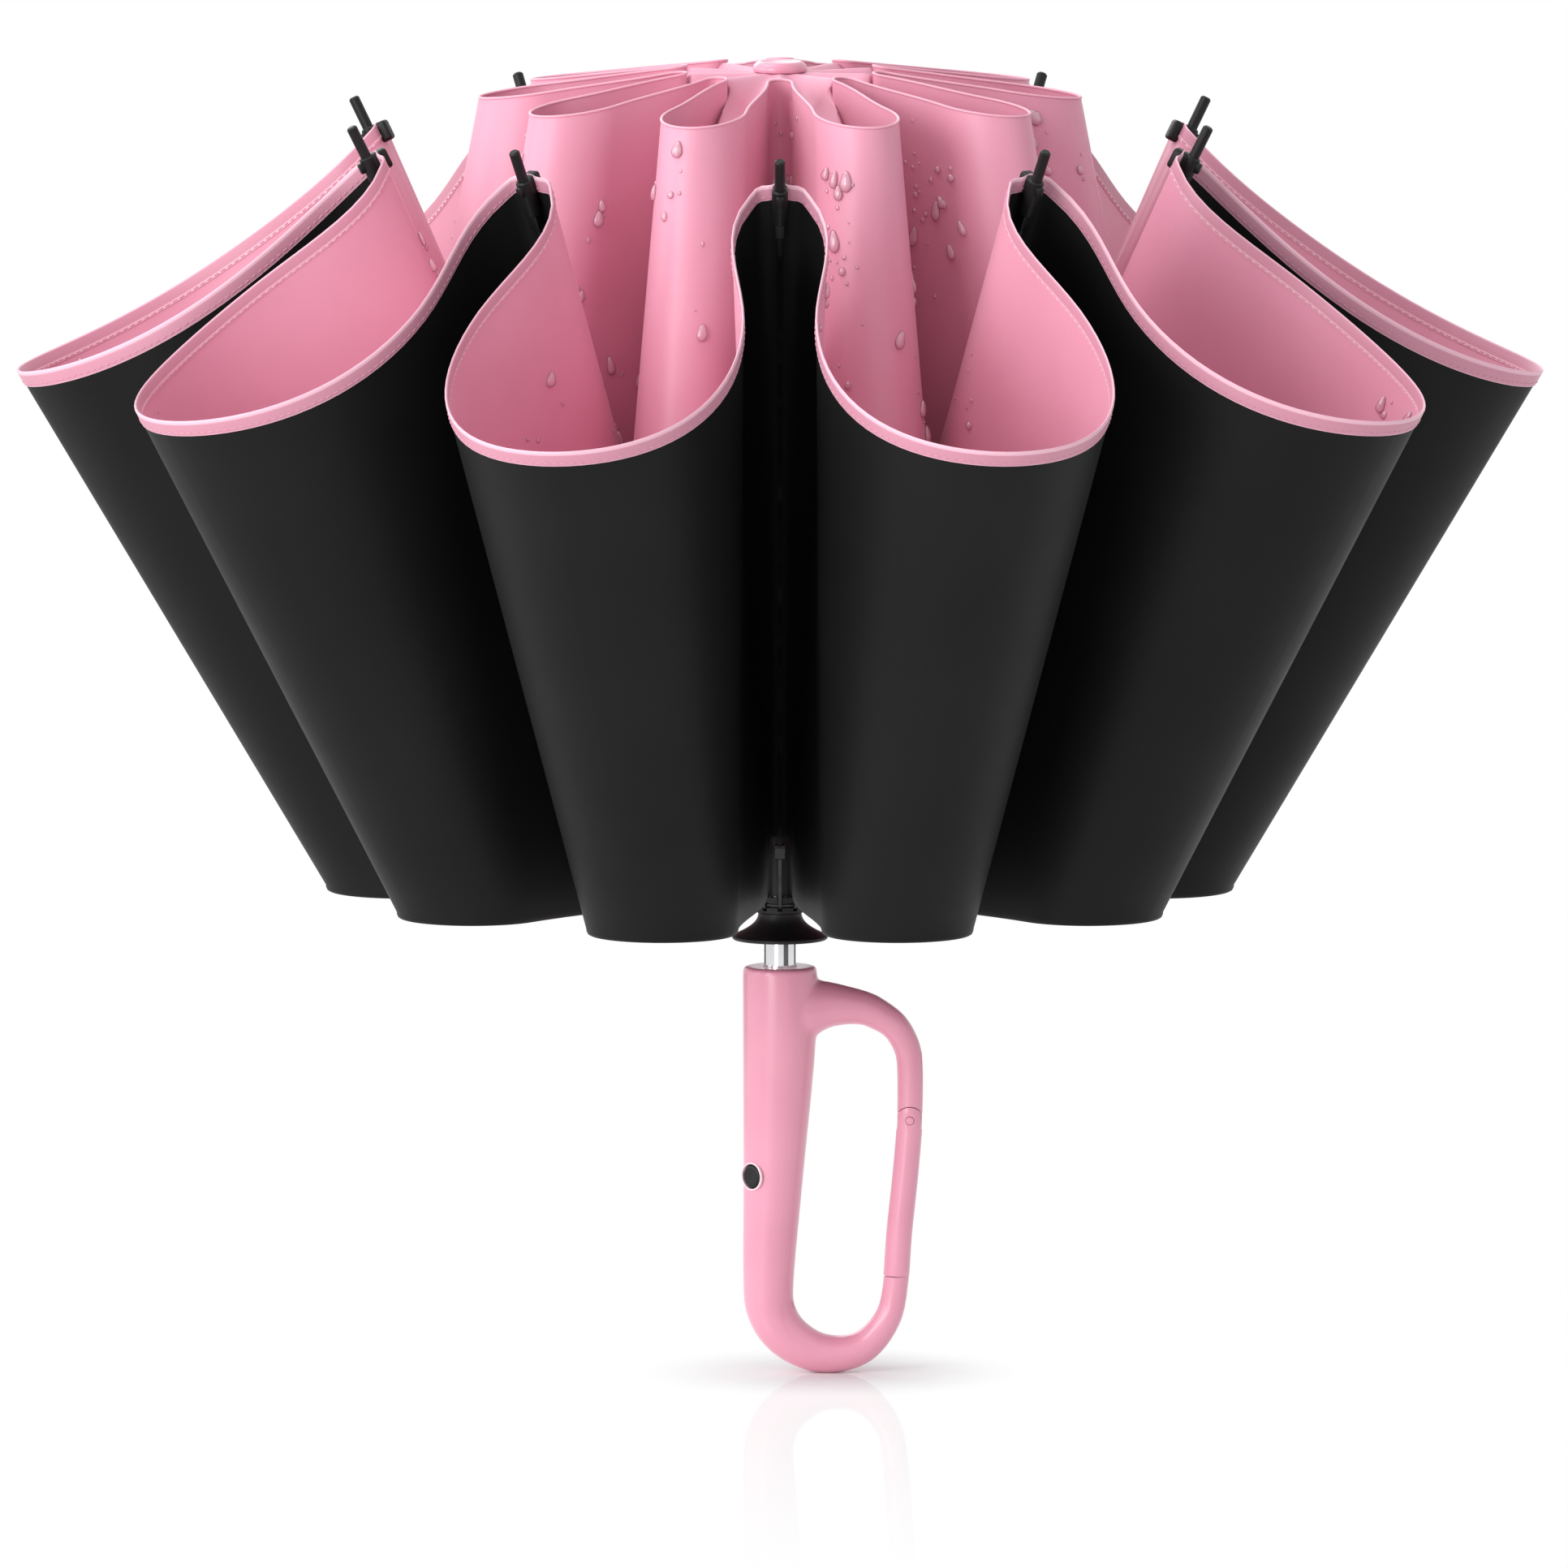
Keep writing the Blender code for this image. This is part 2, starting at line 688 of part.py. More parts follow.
def wire_ring(name, radius, height):
    steps = RIB_COUNT * RING_SHARE
    points = []
    for step in range(steps):
        turn = FRONT + step * math.tau / steps
        points.append((radius * math.cos(turn), radius * math.sin(turn), height))
    mesh = wire_mesh(name, points, [WIRE_RADIUS] * steps, 1, closed=True)
    add_object(name, mesh, spring_steel)


def add_crown():
    inner = upper_radius() + GAP
    low = CROWN_TOP - CROWN_HEIGHT
    groove = CROWN_PIVOT_RADIUS - WIRE_RADIUS - PIN_CLEARANCE
    profile = grooved_profile(CROWN_RADIUS, inner, low, CROWN_TOP, CROWN_PIVOT_Z, groove)
    blank = turned_mesh("crown_blank", profile, ROUND_STEPS, closed=True)
    slot_high = CROWN_PIVOT_Z + RIB_EYE_RADIUS + 2 * GAP
    slots = slot_cutters(
        CROWN_PIVOT_RADIUS - RIB_EYE_RADIUS - GAP,
        CROWN_RADIUS + OVERRUN,
        INNER_RIB_HALF + GAP,
        low - OVERRUN,
        slot_high,
    )
    add_object("crown", shaped_mesh("crown", blank, [("DIFFERENCE", slots)]), dark_plastic)
    wire_ring("crown_wire", CROWN_PIVOT_RADIUS, CROWN_PIVOT_Z)

    cap_base = CAP_TOP - CAP_HEIGHT
    cap_profile = [
        (0, CAP_TOP),
        (CAP_TOP_RADIUS, CAP_TOP),
        (CAP_RADIUS, CAP_TOP - CAP_HEIGHT / 2),
        (CAP_RADIUS, cap_base),
        (CAP_STEM_RADIUS, cap_base),
        (CAP_STEM_RADIUS, cap_base - CAP_STEM_LENGTH),
        (0, cap_base - CAP_STEM_LENGTH),
    ]
    add_object("top_cap", turned_mesh("top_cap", cap_profile), pink_plastic)

    cover_top = cap_base - GAP
    cover_low = cover_top - COVER_DROP
    edge = COVER_RADIUS - COVER_SHOULDER
    inside = COVER_RADIUS - COVER_THICKNESS
    cover_profile = [
        (COVER_HOLE, cover_top),
        (edge, cover_top - COVER_THICKNESS),
        (COVER_RADIUS, cover_top - COVER_SHOULDER),
        (COVER_RADIUS, cover_low),
        (inside, cover_low),
        (inside, cover_top - COVER_SHOULDER),
        (edge - COVER_THICKNESS, cover_top - 2 * COVER_THICKNESS),
        (COVER_HOLE, cover_top - COVER_THICKNESS),
    ]
    cover = turned_mesh("crown_cover", cover_profile, ROUND_STEPS, closed=True)
    add_object("crown_cover", cover, pink_cloth)


def add_runner():
    inner = TUBE_RADIUS + GAP
    sleeve = inner + RUNNER_WALL
    low = RUNNER_PIVOT_Z - RUNNER_RING_HALF
    high = RUNNER_PIVOT_Z + RUNNER_RING_HALF
    groove = RUNNER_PIVOT_RADIUS - WIRE_RADIUS - PIN_CLEARANCE
    profile = grooved_profile(RUNNER_RADIUS, inner, low, high, RUNNER_PIVOT_Z, groove)
    profile[6:7] = [(sleeve, low), (sleeve, RUNNER_FOOT_Z), (inner, RUNNER_FOOT_Z)]
    blank = turned_mesh("runner_blank", profile, ROUND_STEPS, closed=True)
    slots = slot_cutters(
        RUNNER_PIVOT_RADIUS - LINK_EYE_RADIUS - GAP,
        RUNNER_RADIUS + OVERRUN,
        LINK_HALF + GAP,
        RUNNER_PIVOT_Z - LINK_EYE_RADIUS - 2 * GAP,
        high + OVERRUN,
    )
    add_object("runner", shaped_mesh("runner", blank, [("DIFFERENCE", slots)]), dark_plastic)
    wire_ring("runner_wire", RUNNER_PIVOT_RADIUS, RUNNER_PIVOT_Z)

    neck = sleeve + GAP
    flare = BELL_RIM_RADIUS - neck
    lift = BELL_TOP_Z - BELL_RIM_Z - BELL_RIM_HEIGHT
    flare_shares = ((0.09, 1.0), (0.14, 0.62), (0.3, 0.34), (0.58, 0.12), (1.0, 0.0))
    outside = [(neck + flare * x, BELL_RIM_Z + BELL_RIM_HEIGHT + lift * z) for x, z in flare_shares]
    rim = [(BELL_RIM_RADIUS, BELL_RIM_Z), (BELL_RIM_RADIUS - BELL_WALL, BELL_RIM_Z)]
    inside = [(neck + flare / 4, BELL_RIM_Z + BELL_RIM_HEIGHT / 2), (neck, BELL_RIM_Z + BELL_WALL)]
    inside.append((neck, BELL_TOP_Z))
    bell = turned_mesh("runner_bell", outside + rim + inside, ROUND_STEPS, closed=True)
    add_object("runner_bell", bell, dark_plastic)


# Ribs and links, each made once in the plane of a rib and turned to its bearing


def rod_line(along, inward=0.0):
    """A point of the outer rib's rod, from its root, in the plane of the rib."""
    outward = (math.cos(RIB_LEAN), -math.sin(RIB_LEAN))
    up = (math.sin(RIB_LEAN), math.cos(RIB_LEAN))
    aside = ROD_OFFSET - inward
    return (
        RIB_HINGE_RADIUS + outward[0] * aside + up[0] * along,
        RIB_HINGE_Z + outward[1] * aside + up[1] * along,
    )


def lever_eye():
    return (RIB_HINGE_RADIUS - LEVER_REACH, RIB_HINGE_Z - LEVER_DROP)


def outer_rib_mesh():
    hinge = (RIB_HINGE_RADIUS, RIB_HINGE_Z)
    rounds = []
    for centre in (lever_eye(), hinge, rod_line(0), rod_line(ROOT_LENGTH)):
        rounds += ring_points(centre, CHEEK_RADIUS, CHEEK_STEPS)
    around = convex_hull_2d(rounds)
    lever = plate_mesh("lever", [[rounds[i] for i in around]], CHEEK_HALF)
    slot_edge = RIB_EYE_RADIUS + GAP
    reach = LEVER_REACH * 2
    corners = [(-reach, -reach), (slot_edge, -reach), (slot_edge, reach), (-reach, reach)]
    outward = (math.cos(RIB_LEAN), -math.sin(RIB_LEAN))
    up = (math.sin(RIB_LEAN), math.cos(RIB_LEAN))
    outline = [
        (hinge[0] + outward[0] * a + up[0] * b, hinge[1] + outward[1] * a + up[1] * b)
        for a, b in corners
    ]
    slot = plate_mesh("cheek_slot", [outline], CHEEK_SLOT_HALF)
    rivets = [
        cylinder_mesh(
            f"rivet_{number}",
            RIVET_RADIUS,
            (place[0], -CHEEK_HALF - RIVET_PROUD, place[1]),
            (place[0], CHEEK_HALF + RIVET_PROUD, place[1]),
            EYE_STEPS,
        )
        for number, place in enumerate((hinge, lever_eye()))
    ]
    start, end = rod_line(0), rod_line(ROD_LENGTH)
    rod = cylinder_mesh("rod", ROD_RADIUS, (start[0], 0, start[1]), (end[0], 0, end[1]), EYE_STEPS)
    return shaped_mesh(
        "outer_rib",
        lever,
        [
            ("DIFFERENCE", slot),
            ("UNION", rivets[0]),
            ("UNION", rivets[1]),
            ("UNION", rod),
        ],
    )


def inner_rib_mesh():
    crown = (CROWN_PIVOT_RADIUS, CROWN_PIVOT_Z)
    hinge = (RIB_HINGE_RADIUS, RIB_HINGE_Z)
    outline = eyed_bar(crown, hinge, (RIB_EYE_RADIUS, RIB_EYE_RADIUS), INNER_RIB_WIDTH / 2)
    holes = [
        ring_points(crown, WIRE_RADIUS + PIN_CLEARANCE),
        ring_points(hinge, RIVET_RADIUS + PIN_CLEARANCE),
    ]
    return plate_mesh("inner_rib", [outline, *holes], INNER_RIB_HALF)


def link_mesh():
    foot = (RUNNER_PIVOT_RADIUS, RUNNER_PIVOT_Z)
    head = lever_eye()
    outline = eyed_bar(foot, head, (LINK_EYE_RADIUS, LINK_TOP_RADIUS), LINK_WIDTH / 2)
    holes = [
        ring_points(foot, WIRE_RADIUS + PIN_CLEARANCE),
        ring_points(head, RIVET_RADIUS + OPEN_PIVOT_CLEARANCE),
    ]
    return plate_mesh("rib_link", [outline, *holes], LINK_HALF)


def tip_mesh():
    """Sleeve and nib, turned about Z and then laid on the rod's line."""
    hole = ROD_RADIUS + GAP
    blind = TIP_OVERLAP + GAP
    total = SLEEVE_LENGTH + NIB_LENGTH
    profile = [
        (0, total),
        (NIB_RADIUS - TIP_EDGE, total),
        (NIB_RADIUS, total - TIP_EDGE),
        (NIB_RADIUS, SLEEVE_LENGTH),
        (SLEEVE_RADIUS - TIP_EDGE, SLEEVE_LENGTH),
        (SLEEVE_RADIUS, SLEEVE_LENGTH - TIP_EDGE),
        (SLEEVE_RADIUS, TIP_EDGE),
        (SLEEVE_RADIUS - TIP_EDGE, 0),
        (hole, 0),
        (hole, blind),
        (0, blind),
    ]
    mesh = turned_mesh("rib_tip", profile, TIP_STEPS)
    start = rod_line(TIP_FROM_HINGE)
    mesh.transform(Matrix.Translation((start[0], 0, start[1])) @ Matrix.Rotation(RIB_LEAN, 4, "Y"))
    return mesh


def add_ribs():
    hinge = (RIB_HINGE_RADIUS, 0, RIB_HINGE_Z)
    crown = (CROWN_PIVOT_RADIUS, 0, CROWN_PIVOT_Z)
    foot = (RUNNER_PIVOT_RADIUS, 0, RUNNER_PIVOT_Z)
    pieces = (
        ("inner_rib", inner_rib_mesh(), "crown_hinge", crown, black_steel),
        ("outer_rib", outer_rib_mesh(), "rib_hinge", hinge, black_steel),
        ("rib_tip", tip_mesh(), "rib_hinge", hinge, dark_plastic),
        ("rib_link", link_mesh(), "link_hinge", foot, black_steel),
    )
    pivots = {}
    for name, mesh, pivot_name, place, finish in pieces:
        mesh.transform(Matrix.Translation(-Vector(place)))
        for number in range(RIB_COUNT):
            bearing = rib_bearing(number)
            key = f"{pivot_name}_{number + 1:02d}"
            if key not in pivots:
                spot = Matrix.Rotation(bearing, 4, "Z") @ Vector(place)
                pivots[key] = add_pivot(key, spot, bearing)
            add_object(f"{name}_{number + 1:02d}", mesh, finish, parent=pivots[key])


# Canopy: one sheet from the hem, down the outer wall, round the fold and up to the rim


def half_lobe(centre, radius, valley, half, depth, turns):
    """Half a lobe's section: from its crest, round its side, and in to the rib's plane.

    Points are (along the lobe's bearing, aside), the last one on the plane of the rib.
    The valley there is half an ellipse, with its own half width and depth.
    """
    along = Vector((math.cos(HALF_STEP), math.sin(HALF_STEP)))
    aside = Vector((-math.sin(HALF_STEP), math.cos(HALF_STEP)))
    sweep = QUARTER + HALF_STEP
    made = []
    for step in range(ARC_STEPS + 1):
        turn = sweep * step / ARC_STEPS
        made.append(Vector((centre + radius * math.cos(turn), radius * math.sin(turn))))
    middle = along * (valley + depth)
    for turn in turns:
        made.append(middle - aside * math.cos(turn) * half - along * math.sin(turn) * depth)
    return made


def fold_apex():
    """Radius and height of the cloth at the rib, where it turns up above the hinge."""
    return rod_line(FOLD_FROM_ROOT, ROD_RADIUS + CLOTH_GAP + CLOTH_THICKNESS / 2)


def hem_apex():
    """Radius and height of the hem where it passes inside the tip's sleeve."""
    return rod_line(TIP_FROM_HINGE + SLEEVE_LENGTH, SLEEVE_RADIUS + CLOTH_GAP + CLOTH_THICKNESS / 2)


def wall_sections():
    """Half sections of the fold, of the outer wall at a known height, and of the rim."""
    valley, valley_z = fold_apex()
    hem_valley, hem_z = hem_apex()
    fold = half_lobe(
        FOLD_CENTRE, FOLD_LOBE_RADIUS, valley, VALLEY_HALF, VALLEY_HALF, VALLEY_TURNS
    )
    climb = (HEM_GUIDE_Z - valley_z) / (hem_z - valley_z)
    guide_valley = valley + (hem_valley - valley) * climb
    guide = half_lobe(HEM_CENTRE, HEM_LOBE_RADIUS, guide_valley, ARCH_HALF, ARCH_DEPTH, ARCH_TURNS)
    rim = half_lobe(
        RIM_CENTRE, RIM_LOBE_RADIUS, RIM_VALLEY, RIM_VALLEY_HALF, RIM_VALLEY_HALF, VALLEY_TURNS
    )
    return fold, guide, rim


def canopy_rings():
    """Rings of half-lobe points with heights, from hem to rim."""
    fold, guide, rim = wall_sections()
    hem_valley, hem_z = hem_apex()
    fold_rise = fold_apex()[1] - FOLD_Z
    fold_heights = [FOLD_Z] * (len(fold) - 2) + [FOLD_Z + fold_rise] * 2
    rim_heights = [RIM_Z + RIM_RISE * share for share in RIM_RISE_SHARES]

    hem, outer_foot, bottom, inner_foot, top = [], [], [], [], []
    for i in range(len(fold)):
        low, high = fold[i], guide[i]
        rise = HEM_GUIDE_Z - fold_heights[i]
        slope = (high - low) / rise
        fall = HEM_FALL * (low.x - hem_valley * math.cos(HALF_STEP))
        hem_rise = (hem_z - fold_heights[i] - fall) / (1 + HEM_FALL * slope.x)
        hem.append((low + slope * hem_rise, fold_heights[i] + hem_rise))
        outer_foot.append((low + slope * FOLD_RADIUS, fold_heights[i] + FOLD_RADIUS))
        rim_rise = rim_heights[i] - fold_heights[i]
        inward = (rim[i] - low) * FOLD_RADIUS / rim_rise
        shift = low.normalized() * FOLD_RADIUS
        bottom.append((low - shift / 2, fold_heights[i]))
        inner_foot.append((low - shift + inward, fold_heights[i] + FOLD_RADIUS))
        top.append((rim[i], rim_heights[i]))
    return [hem, outer_foot, bottom, inner_foot, top]


def add_canopy():
    mesh = bpy.data.meshes.new("canopy")
    shape = bmesh.new()
    rows = []
    for ring in canopy_rings():
        mirrored = [(Vector((point.x, -point.y)), height) for point, height in ring[-1:0:-1]]
        lobe = mirrored + ring[:-1]
        row = []
        for number in range(RIB_COUNT):
            turn = Matrix.Rotation(rib_bearing(number) + HALF_STEP, 4, "Z")
            for point, height in lobe:
                row.append(shape.verts.new(turn @ Vector((point.x, point.y, height))))
        rows.append(row)
    for upper, lower in zip(rows, rows[1:]):
        for i in range(len(upper)):
            j = (i + 1) % len(upper)
            shape.faces.new((upper[i], lower[i], lower[j], upper[j]))
    bmesh.ops.recalc_face_normals(shape, faces=shape.faces)
    shape.to_mesh(mesh)
    shape.free()
    canopy = add_object("canopy", mesh, black_cloth)
    thickness = canopy.modifiers.new("thickness", "SOLIDIFY")
    thickness.thickness = CLOTH_THICKNESS
    thickness.offset = 0


for old in list(bpy.data.objects):
    bpy.data.objects.remove(old)

umbrella = cleared_collection("inverted_umbrella")
cutters = cleared_collection("cutters")

pink_plastic = material("pink_plastic", (0.86, 0.42, 0.58), 0.3)
dark_plastic = material("dark_plastic", (0.02, 0.02, 0.022), 0.4)
pink_cloth = material("pink_cloth", (0.8, 0.36, 0.52), 0.55)
black_cloth = material("black_cloth", (0.02, 0.02, 0.022), 0.45)
black_steel = material("black_steel", (0.03, 0.03, 0.032), 0.35, 0.4)
spring_steel = material("spring_steel", (0.55, 0.55, 0.56), 0.3, 1.0)
chrome = material("chrome", (0.8, 0.8, 0.82), 0.12, 1.0)

add_handle()
add_gate()
add_button()
add_shaft()
add_crown()
add_runner()
add_ribs()
add_canopy()
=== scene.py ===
"""Looks of a half-folded inverted umbrella: two-tone lobes, bound hem, rib tips and handle.

Metres, +Z up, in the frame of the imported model. Rib 1 faces the front, -Y, and the handle's
loop points to +X. Sizes that pieces share with the model are repeated here by name.
"""

import math
import random

import bmesh
import bpy
from mathutils import Matrix, Vector


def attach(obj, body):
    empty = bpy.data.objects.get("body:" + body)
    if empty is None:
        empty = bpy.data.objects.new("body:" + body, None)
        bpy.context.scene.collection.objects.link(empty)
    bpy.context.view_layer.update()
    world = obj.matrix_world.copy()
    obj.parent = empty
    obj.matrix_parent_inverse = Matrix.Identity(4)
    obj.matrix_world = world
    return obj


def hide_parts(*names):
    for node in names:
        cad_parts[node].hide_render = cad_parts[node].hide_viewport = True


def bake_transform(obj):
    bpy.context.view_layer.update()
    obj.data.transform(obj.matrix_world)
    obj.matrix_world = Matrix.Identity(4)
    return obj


# Ribs
RIB_COUNT = 10
RIB_STEP = math.tau / RIB_COUNT
HALF_STEP = RIB_STEP / 2
FRONT = -math.pi / 2
QUARTER = math.pi / 2
RIB_HINGE_RADIUS = 0.0231
RIB_HINGE_Z = 0.1976
RIB_LEAN = math.radians(27.1)
ROD_OFFSET = 0.0035
ROD_RADIUS = 0.001
TIP_FROM_HINGE = 0.2795
SLEEVE_RADIUS = 0.00295
SLEEVE_LENGTH = 0.0148
NIB_RADIUS = 0.002
NIB_LENGTH = 0.0125
TIP_EDGE = 0.0006
TIP_SHARP = 35
# Block that holds the hem, catch and skirt: two corners, width and segments of the bevel
TIP_PARTS = (
    ("block", (-0.0076, -0.0026, 0.007), (-0.001, 0.0026, 0.0148), 0.0012, 4),
    ("catch", (0.001, -0.0013, 0.0096), (0.0044, 0.0013, 0.0136), 0.0005, 2),
    ("skirt", (-0.0016, -0.0019, -0.006), (0.0019, 0.0019, 0.001), 0.0006, 2),
)

# Cloth: the fold is as in the model, and hem and rim follow the photograph more closely
SOLID_CLOTH = 0.0008
CLOTH_GAP = 0.0006
FOLD_Z = 0.18
FOLD_FROM_ROOT = 0.007
FOLD_RADIUS = 0.0022
FOLD_CENTRE = 0.1389
FOLD_LOBE_RADIUS = 0.0276
HEM_GUIDE_Z = 0.3666
HEM_CENTRE = 0.2114
HEM_LOBE_LENGTH = 0.0661
HEM_LOBE_RADIUS = 0.0497
HEM_FALL = 1.045
HEM_FLATTENING = 2.956
RIM_Z = 0.4746
RIM_CENTRE = 0.0905
RIM_LOBE_LENGTH = 0.0205
RIM_LOBE_RADIUS = 0.015
RIM_VALLEY = 0.0365
RIM_VALLEY_HALF = 0.0045
RIM_RISE = 0.0104
VALLEY_HALF = 0.0045
ARCH_HALF = 0.0116
ARCH_DEPTH = 0.0217
ARCH_SPREAD = math.radians(50)
ARCH_EVEN = 0.2

# Cloth, as sewn
CLOTH = 0.0003
CREST_STRIP = 0.0003
VALLEY_STEPS = 8
STRAIGHT_STEPS = 10
ARC_STEPS = 20
WALL_ROWS = 26
FOLD_ROWS = 6
BINDING_OUTSIDE = 0.006
BINDING_INSIDE = 0.0052
BINDING_THICKNESS = 0.0004
BINDING_ROUND = 0.7
STITCH_DEPTH = 0.0044
STITCH_LENGTH = 0.0021
STITCH_PITCH = 0.0031
STITCH_FLAT = 0.6
THREAD = 0.00017
THREAD_PLUMP = 1.3
THREAD_SEAT = 0.3
ROLLED_EDGE = 0.00055
CLOTH_SHARP = 50

# Crown
CAP_TOP = 0.488
CAP_HEIGHT = 0.0036
CAP_RADIUS = 0.01
CAP_TOP_RADIUS = 0.0082
CAP_STEM_RADIUS = 0.0035
CAP_STEM_LENGTH = 0.012
# Points of the cap's shoulder, inside its radius and above its base
CAP_SHOULDER = ((0.0002, 0), (0, 0.0004), (0, 0.0013), (0.0004, 0.0022), (0.001, 0.003))
# Points of the cap's dish, inside its top's radius and below its top
CAP_DISH = ((0, 0), (0.0012, 0), (0.0018, 0.0003))
CAP_DISH_RADIUS = 0.002
CAP_DISH_DEPTH = 0.0004
CROWN_PROFILE = (
    (0.0078, 0.4843),
    (0.011, 0.4842),
    (0.016, 0.4842),
    (0.022, 0.4843),
    (0.028, 0.4844),
    (0.032, 0.4845),
    (0.035, 0.4844),
    (0.0356, 0.4835),
)
CROWN_SAG = 0.012
CROWN_SAG_GROWTH = 1.5
CROWN_SHARP = 60
CROWN_WELD = 0.00002
POCKET_ROW = 5
POCKET_STEPS = 6

# Shaft and runner
TUBE_RADIUS = 0.006
TUBE_WALL = 0.0007
UPPER_TUBE_RADIUS = 0.005
UPPER_WALL = 0.0006
TUBE_FOOT = 0.0643
UPPER_FOOT = 0.0653
LOWER_TUBE_TOP = 0.455
CROWN_TOP = 0.479
# Piece, node, body, radius, wall, foot and top
TUBES = (
    ("lower_shaft", "lower_tube", "handle", TUBE_RADIUS, TUBE_WALL, TUBE_FOOT, LOWER_TUBE_TOP),
    (
        "upper_shaft_tube",
        "upper_tube",
        "upper_shaft",
        UPPER_TUBE_RADIUS,
        UPPER_WALL,
        UPPER_FOOT,
        CROWN_TOP,
    ),
)
BELL_NECK = 0.0073
BELL_RIM_RADIUS = 0.0177
BELL_RIM_Z = 0.1616
BELL_TOP_Z = 0.1715
BELL_THROAT = 0.001
# Points of the bell's lip, inside its rim's radius and above its rim
BELL_LIP = ((0.0014, 0.0003), (0.0005, 0), (0, 0.0005), (0, 0.0012), (0.0005, 0.0017))
BELL_LIP_TOP = 0.0017
BELL_STEPS = 11
BELL_FLARE_LEAST = 0.07
BELL_FLARE = 0.88
BELL_CURVE = 2.2
NECK_BORE = 0.0062
NECK_RADIUS = 0.0067
NECK_LOW = 0.1782
NECK_HIGH = 0.226
NECK_EDGE = 0.0002
NECK_EDGE_HEIGHT = 0.0003

# Handle
HANDLE_HEIGHT = 0.152
GRIP_RADIUS = 0.0138
LOOP_REACH = 0.048
BORE_DEPTH = 0.088
GAP = 0.0003
HANDLE_PATH_SHARES = (
    (0.0, 1.0, 0.97),
    (0.0, 0.985, 1.0),
    (0.0, 0.9, 1.0),
    (-0.01, 0.76, 0.96),
    (-0.05, 0.49, 0.81),
    (-0.088, 0.23, 0.685),
    (-0.065, 0.15, 0.655),
    (0.05, 0.092, 0.615),
    (0.25, 0.053, 0.555),
    (0.46, 0.046, 0.5),
    (0.66, 0.067, 0.44),
    (0.82, 0.127, 0.375),
    (0.885, 0.2, 0.35),
    (0.92, 0.345, 0.35),
    (0.965, 0.48, 0.35),
    (1.0, 0.62, 0.35),
    (1.0, 0.76, 0.36),
    (0.955, 0.815, 0.375),
    (0.86, 0.857, 0.4),
    (0.7, 0.888, 0.45),
)
ARCH_PATH_SHARES = (
    (0.76, 0.882, 0.4),
    (0.66, 0.893, 0.455),
    (0.52, 0.9, 0.52),
    (0.36, 0.902, 0.64),
    (0.22, 0.895, 0.78),
    (0.08, 0.885, 0.86),
)
PATH_STEPS = 6
HANDLE_SIDES = 32
HANDLE_VOXEL = 0.0007
HANDLE_SMOOTHING = 14
TOP_TRIM = 0.0004
TOP_TRIM_HALF = 0.02
CUT_OVERRUN = 0.01
GATE_PIVOT = Vector((0.048, 0, 0.094392))
GATE_FOOT_Z = 0.036176
GATE_TOP_RADIUS = 0.0049
LIMB_RADIUS = 0.0048
GATE_PIN_RADIUS = 0.0015
GATE_PIN_PROUD = 0.0002
GATE_STEPS = 12
GATE_OVERRUN = 0.001
GATE_EDGE = 0.0003
GATE_EDGE_ANGLE = math.radians(50)
TONGUE_HALF = 0.0012
TONGUE_RADIUS = 0.0035
TONGUE_RISE = 0.0085
BUTTON_Z = 0.074024
BUTTON_TURN = math.radians(46)
BUTTON_RADIUS = 0.00435
BUTTON_DEPTH = 0.0032
BUTTON_STEPS = 56
BUTTON_FOOT_EDGE = (0.0006, 0.0004)
# Points of the button's face, inside its radius and above its seat
BUTTON_FACE = ((0, -0.0002), (0.0004, 0.0003), (0.0012, 0.0005), (0.0022, 0.0003))
BUTTON_MIDDLE = (0.0006, 0.0002)
# Points of the ring round the button, outside the button's radius and above its seat
BEZEL = ((GAP, -0.0004), (GAP, 0.0003), (0.0006, 0.00045), (0.0009, 0.0003), (0.001, -0.0004))
POCKET_DEPTH = 0.006
POCKET_OVERRUN = 0.007
GRIP_SHIFT_AT_BUTTON = 0.0024
GRIP_RADIUS_AT_BUTTON = 0.0112

# Rain
RAIN_SEED = 11
PETAL_CLUSTERS = 24
WALL_CLUSTERS = 16
CLUSTER_LEAST = 2
CLUSTER_MOST = 9
CLUSTER_WIDTH = 0.022
CLUSTER_STRETCH = 1.6
CLUSTER_ACROSS = (0.03, 0.97)
PETAL_FALL = (0.03, 0.75)
WALL_FALL = (0.05, 0.6)
BEAD_ACROSS = (0.01, 0.99)
BEAD_LOWEST = 0.95
BEAD_SMALL = (0.0009, 0.002)
BEAD_LARGE = (0.0026, 0.0052)
LARGE_SHARE = 0.28
LONG_BEAD = 0.0036
LONG_BEAD_TAIL = 0.5
BEAD_TURN = 0.5
BEAD_WIDTH = (0.75, 1.05)
BEAD_LENGTH = (0.9, 1.3)
BEAD_FOOT = 0.18
BEAD_HEIGHT = 0.62
BEAD_SEAT = 0.108
TAIL_NARROWING = 0.55
TAIL_STRETCH = 1.3

# Stage
STUDIO_LIGHT = (0.95, 0.95, 0.98)
STUDIO_STRENGTH = 0.7
FLOOR_RADIUS = 0.9
# Grey of the matte by the foot, darker than the white floor: painted shade that deepens the real
# shadow
FOOT_SHADE_TONE = 0.87
SHADE_X = 0.018
SHADE_NEAR = 0.004
SHADE_FAR = 0.075
MIRROR_SHARE = 0.14
MIRROR_REACH = 0.62
MIRROR_ROUGHNESS = 0.04
CARD_TONE = 0.05
CARD_ROUGHNESS = 0.9
STUDIO_MIDDLE = (0, 0, 0.3)
HANDLE_MIDDLE = (0, 0, 0.12)
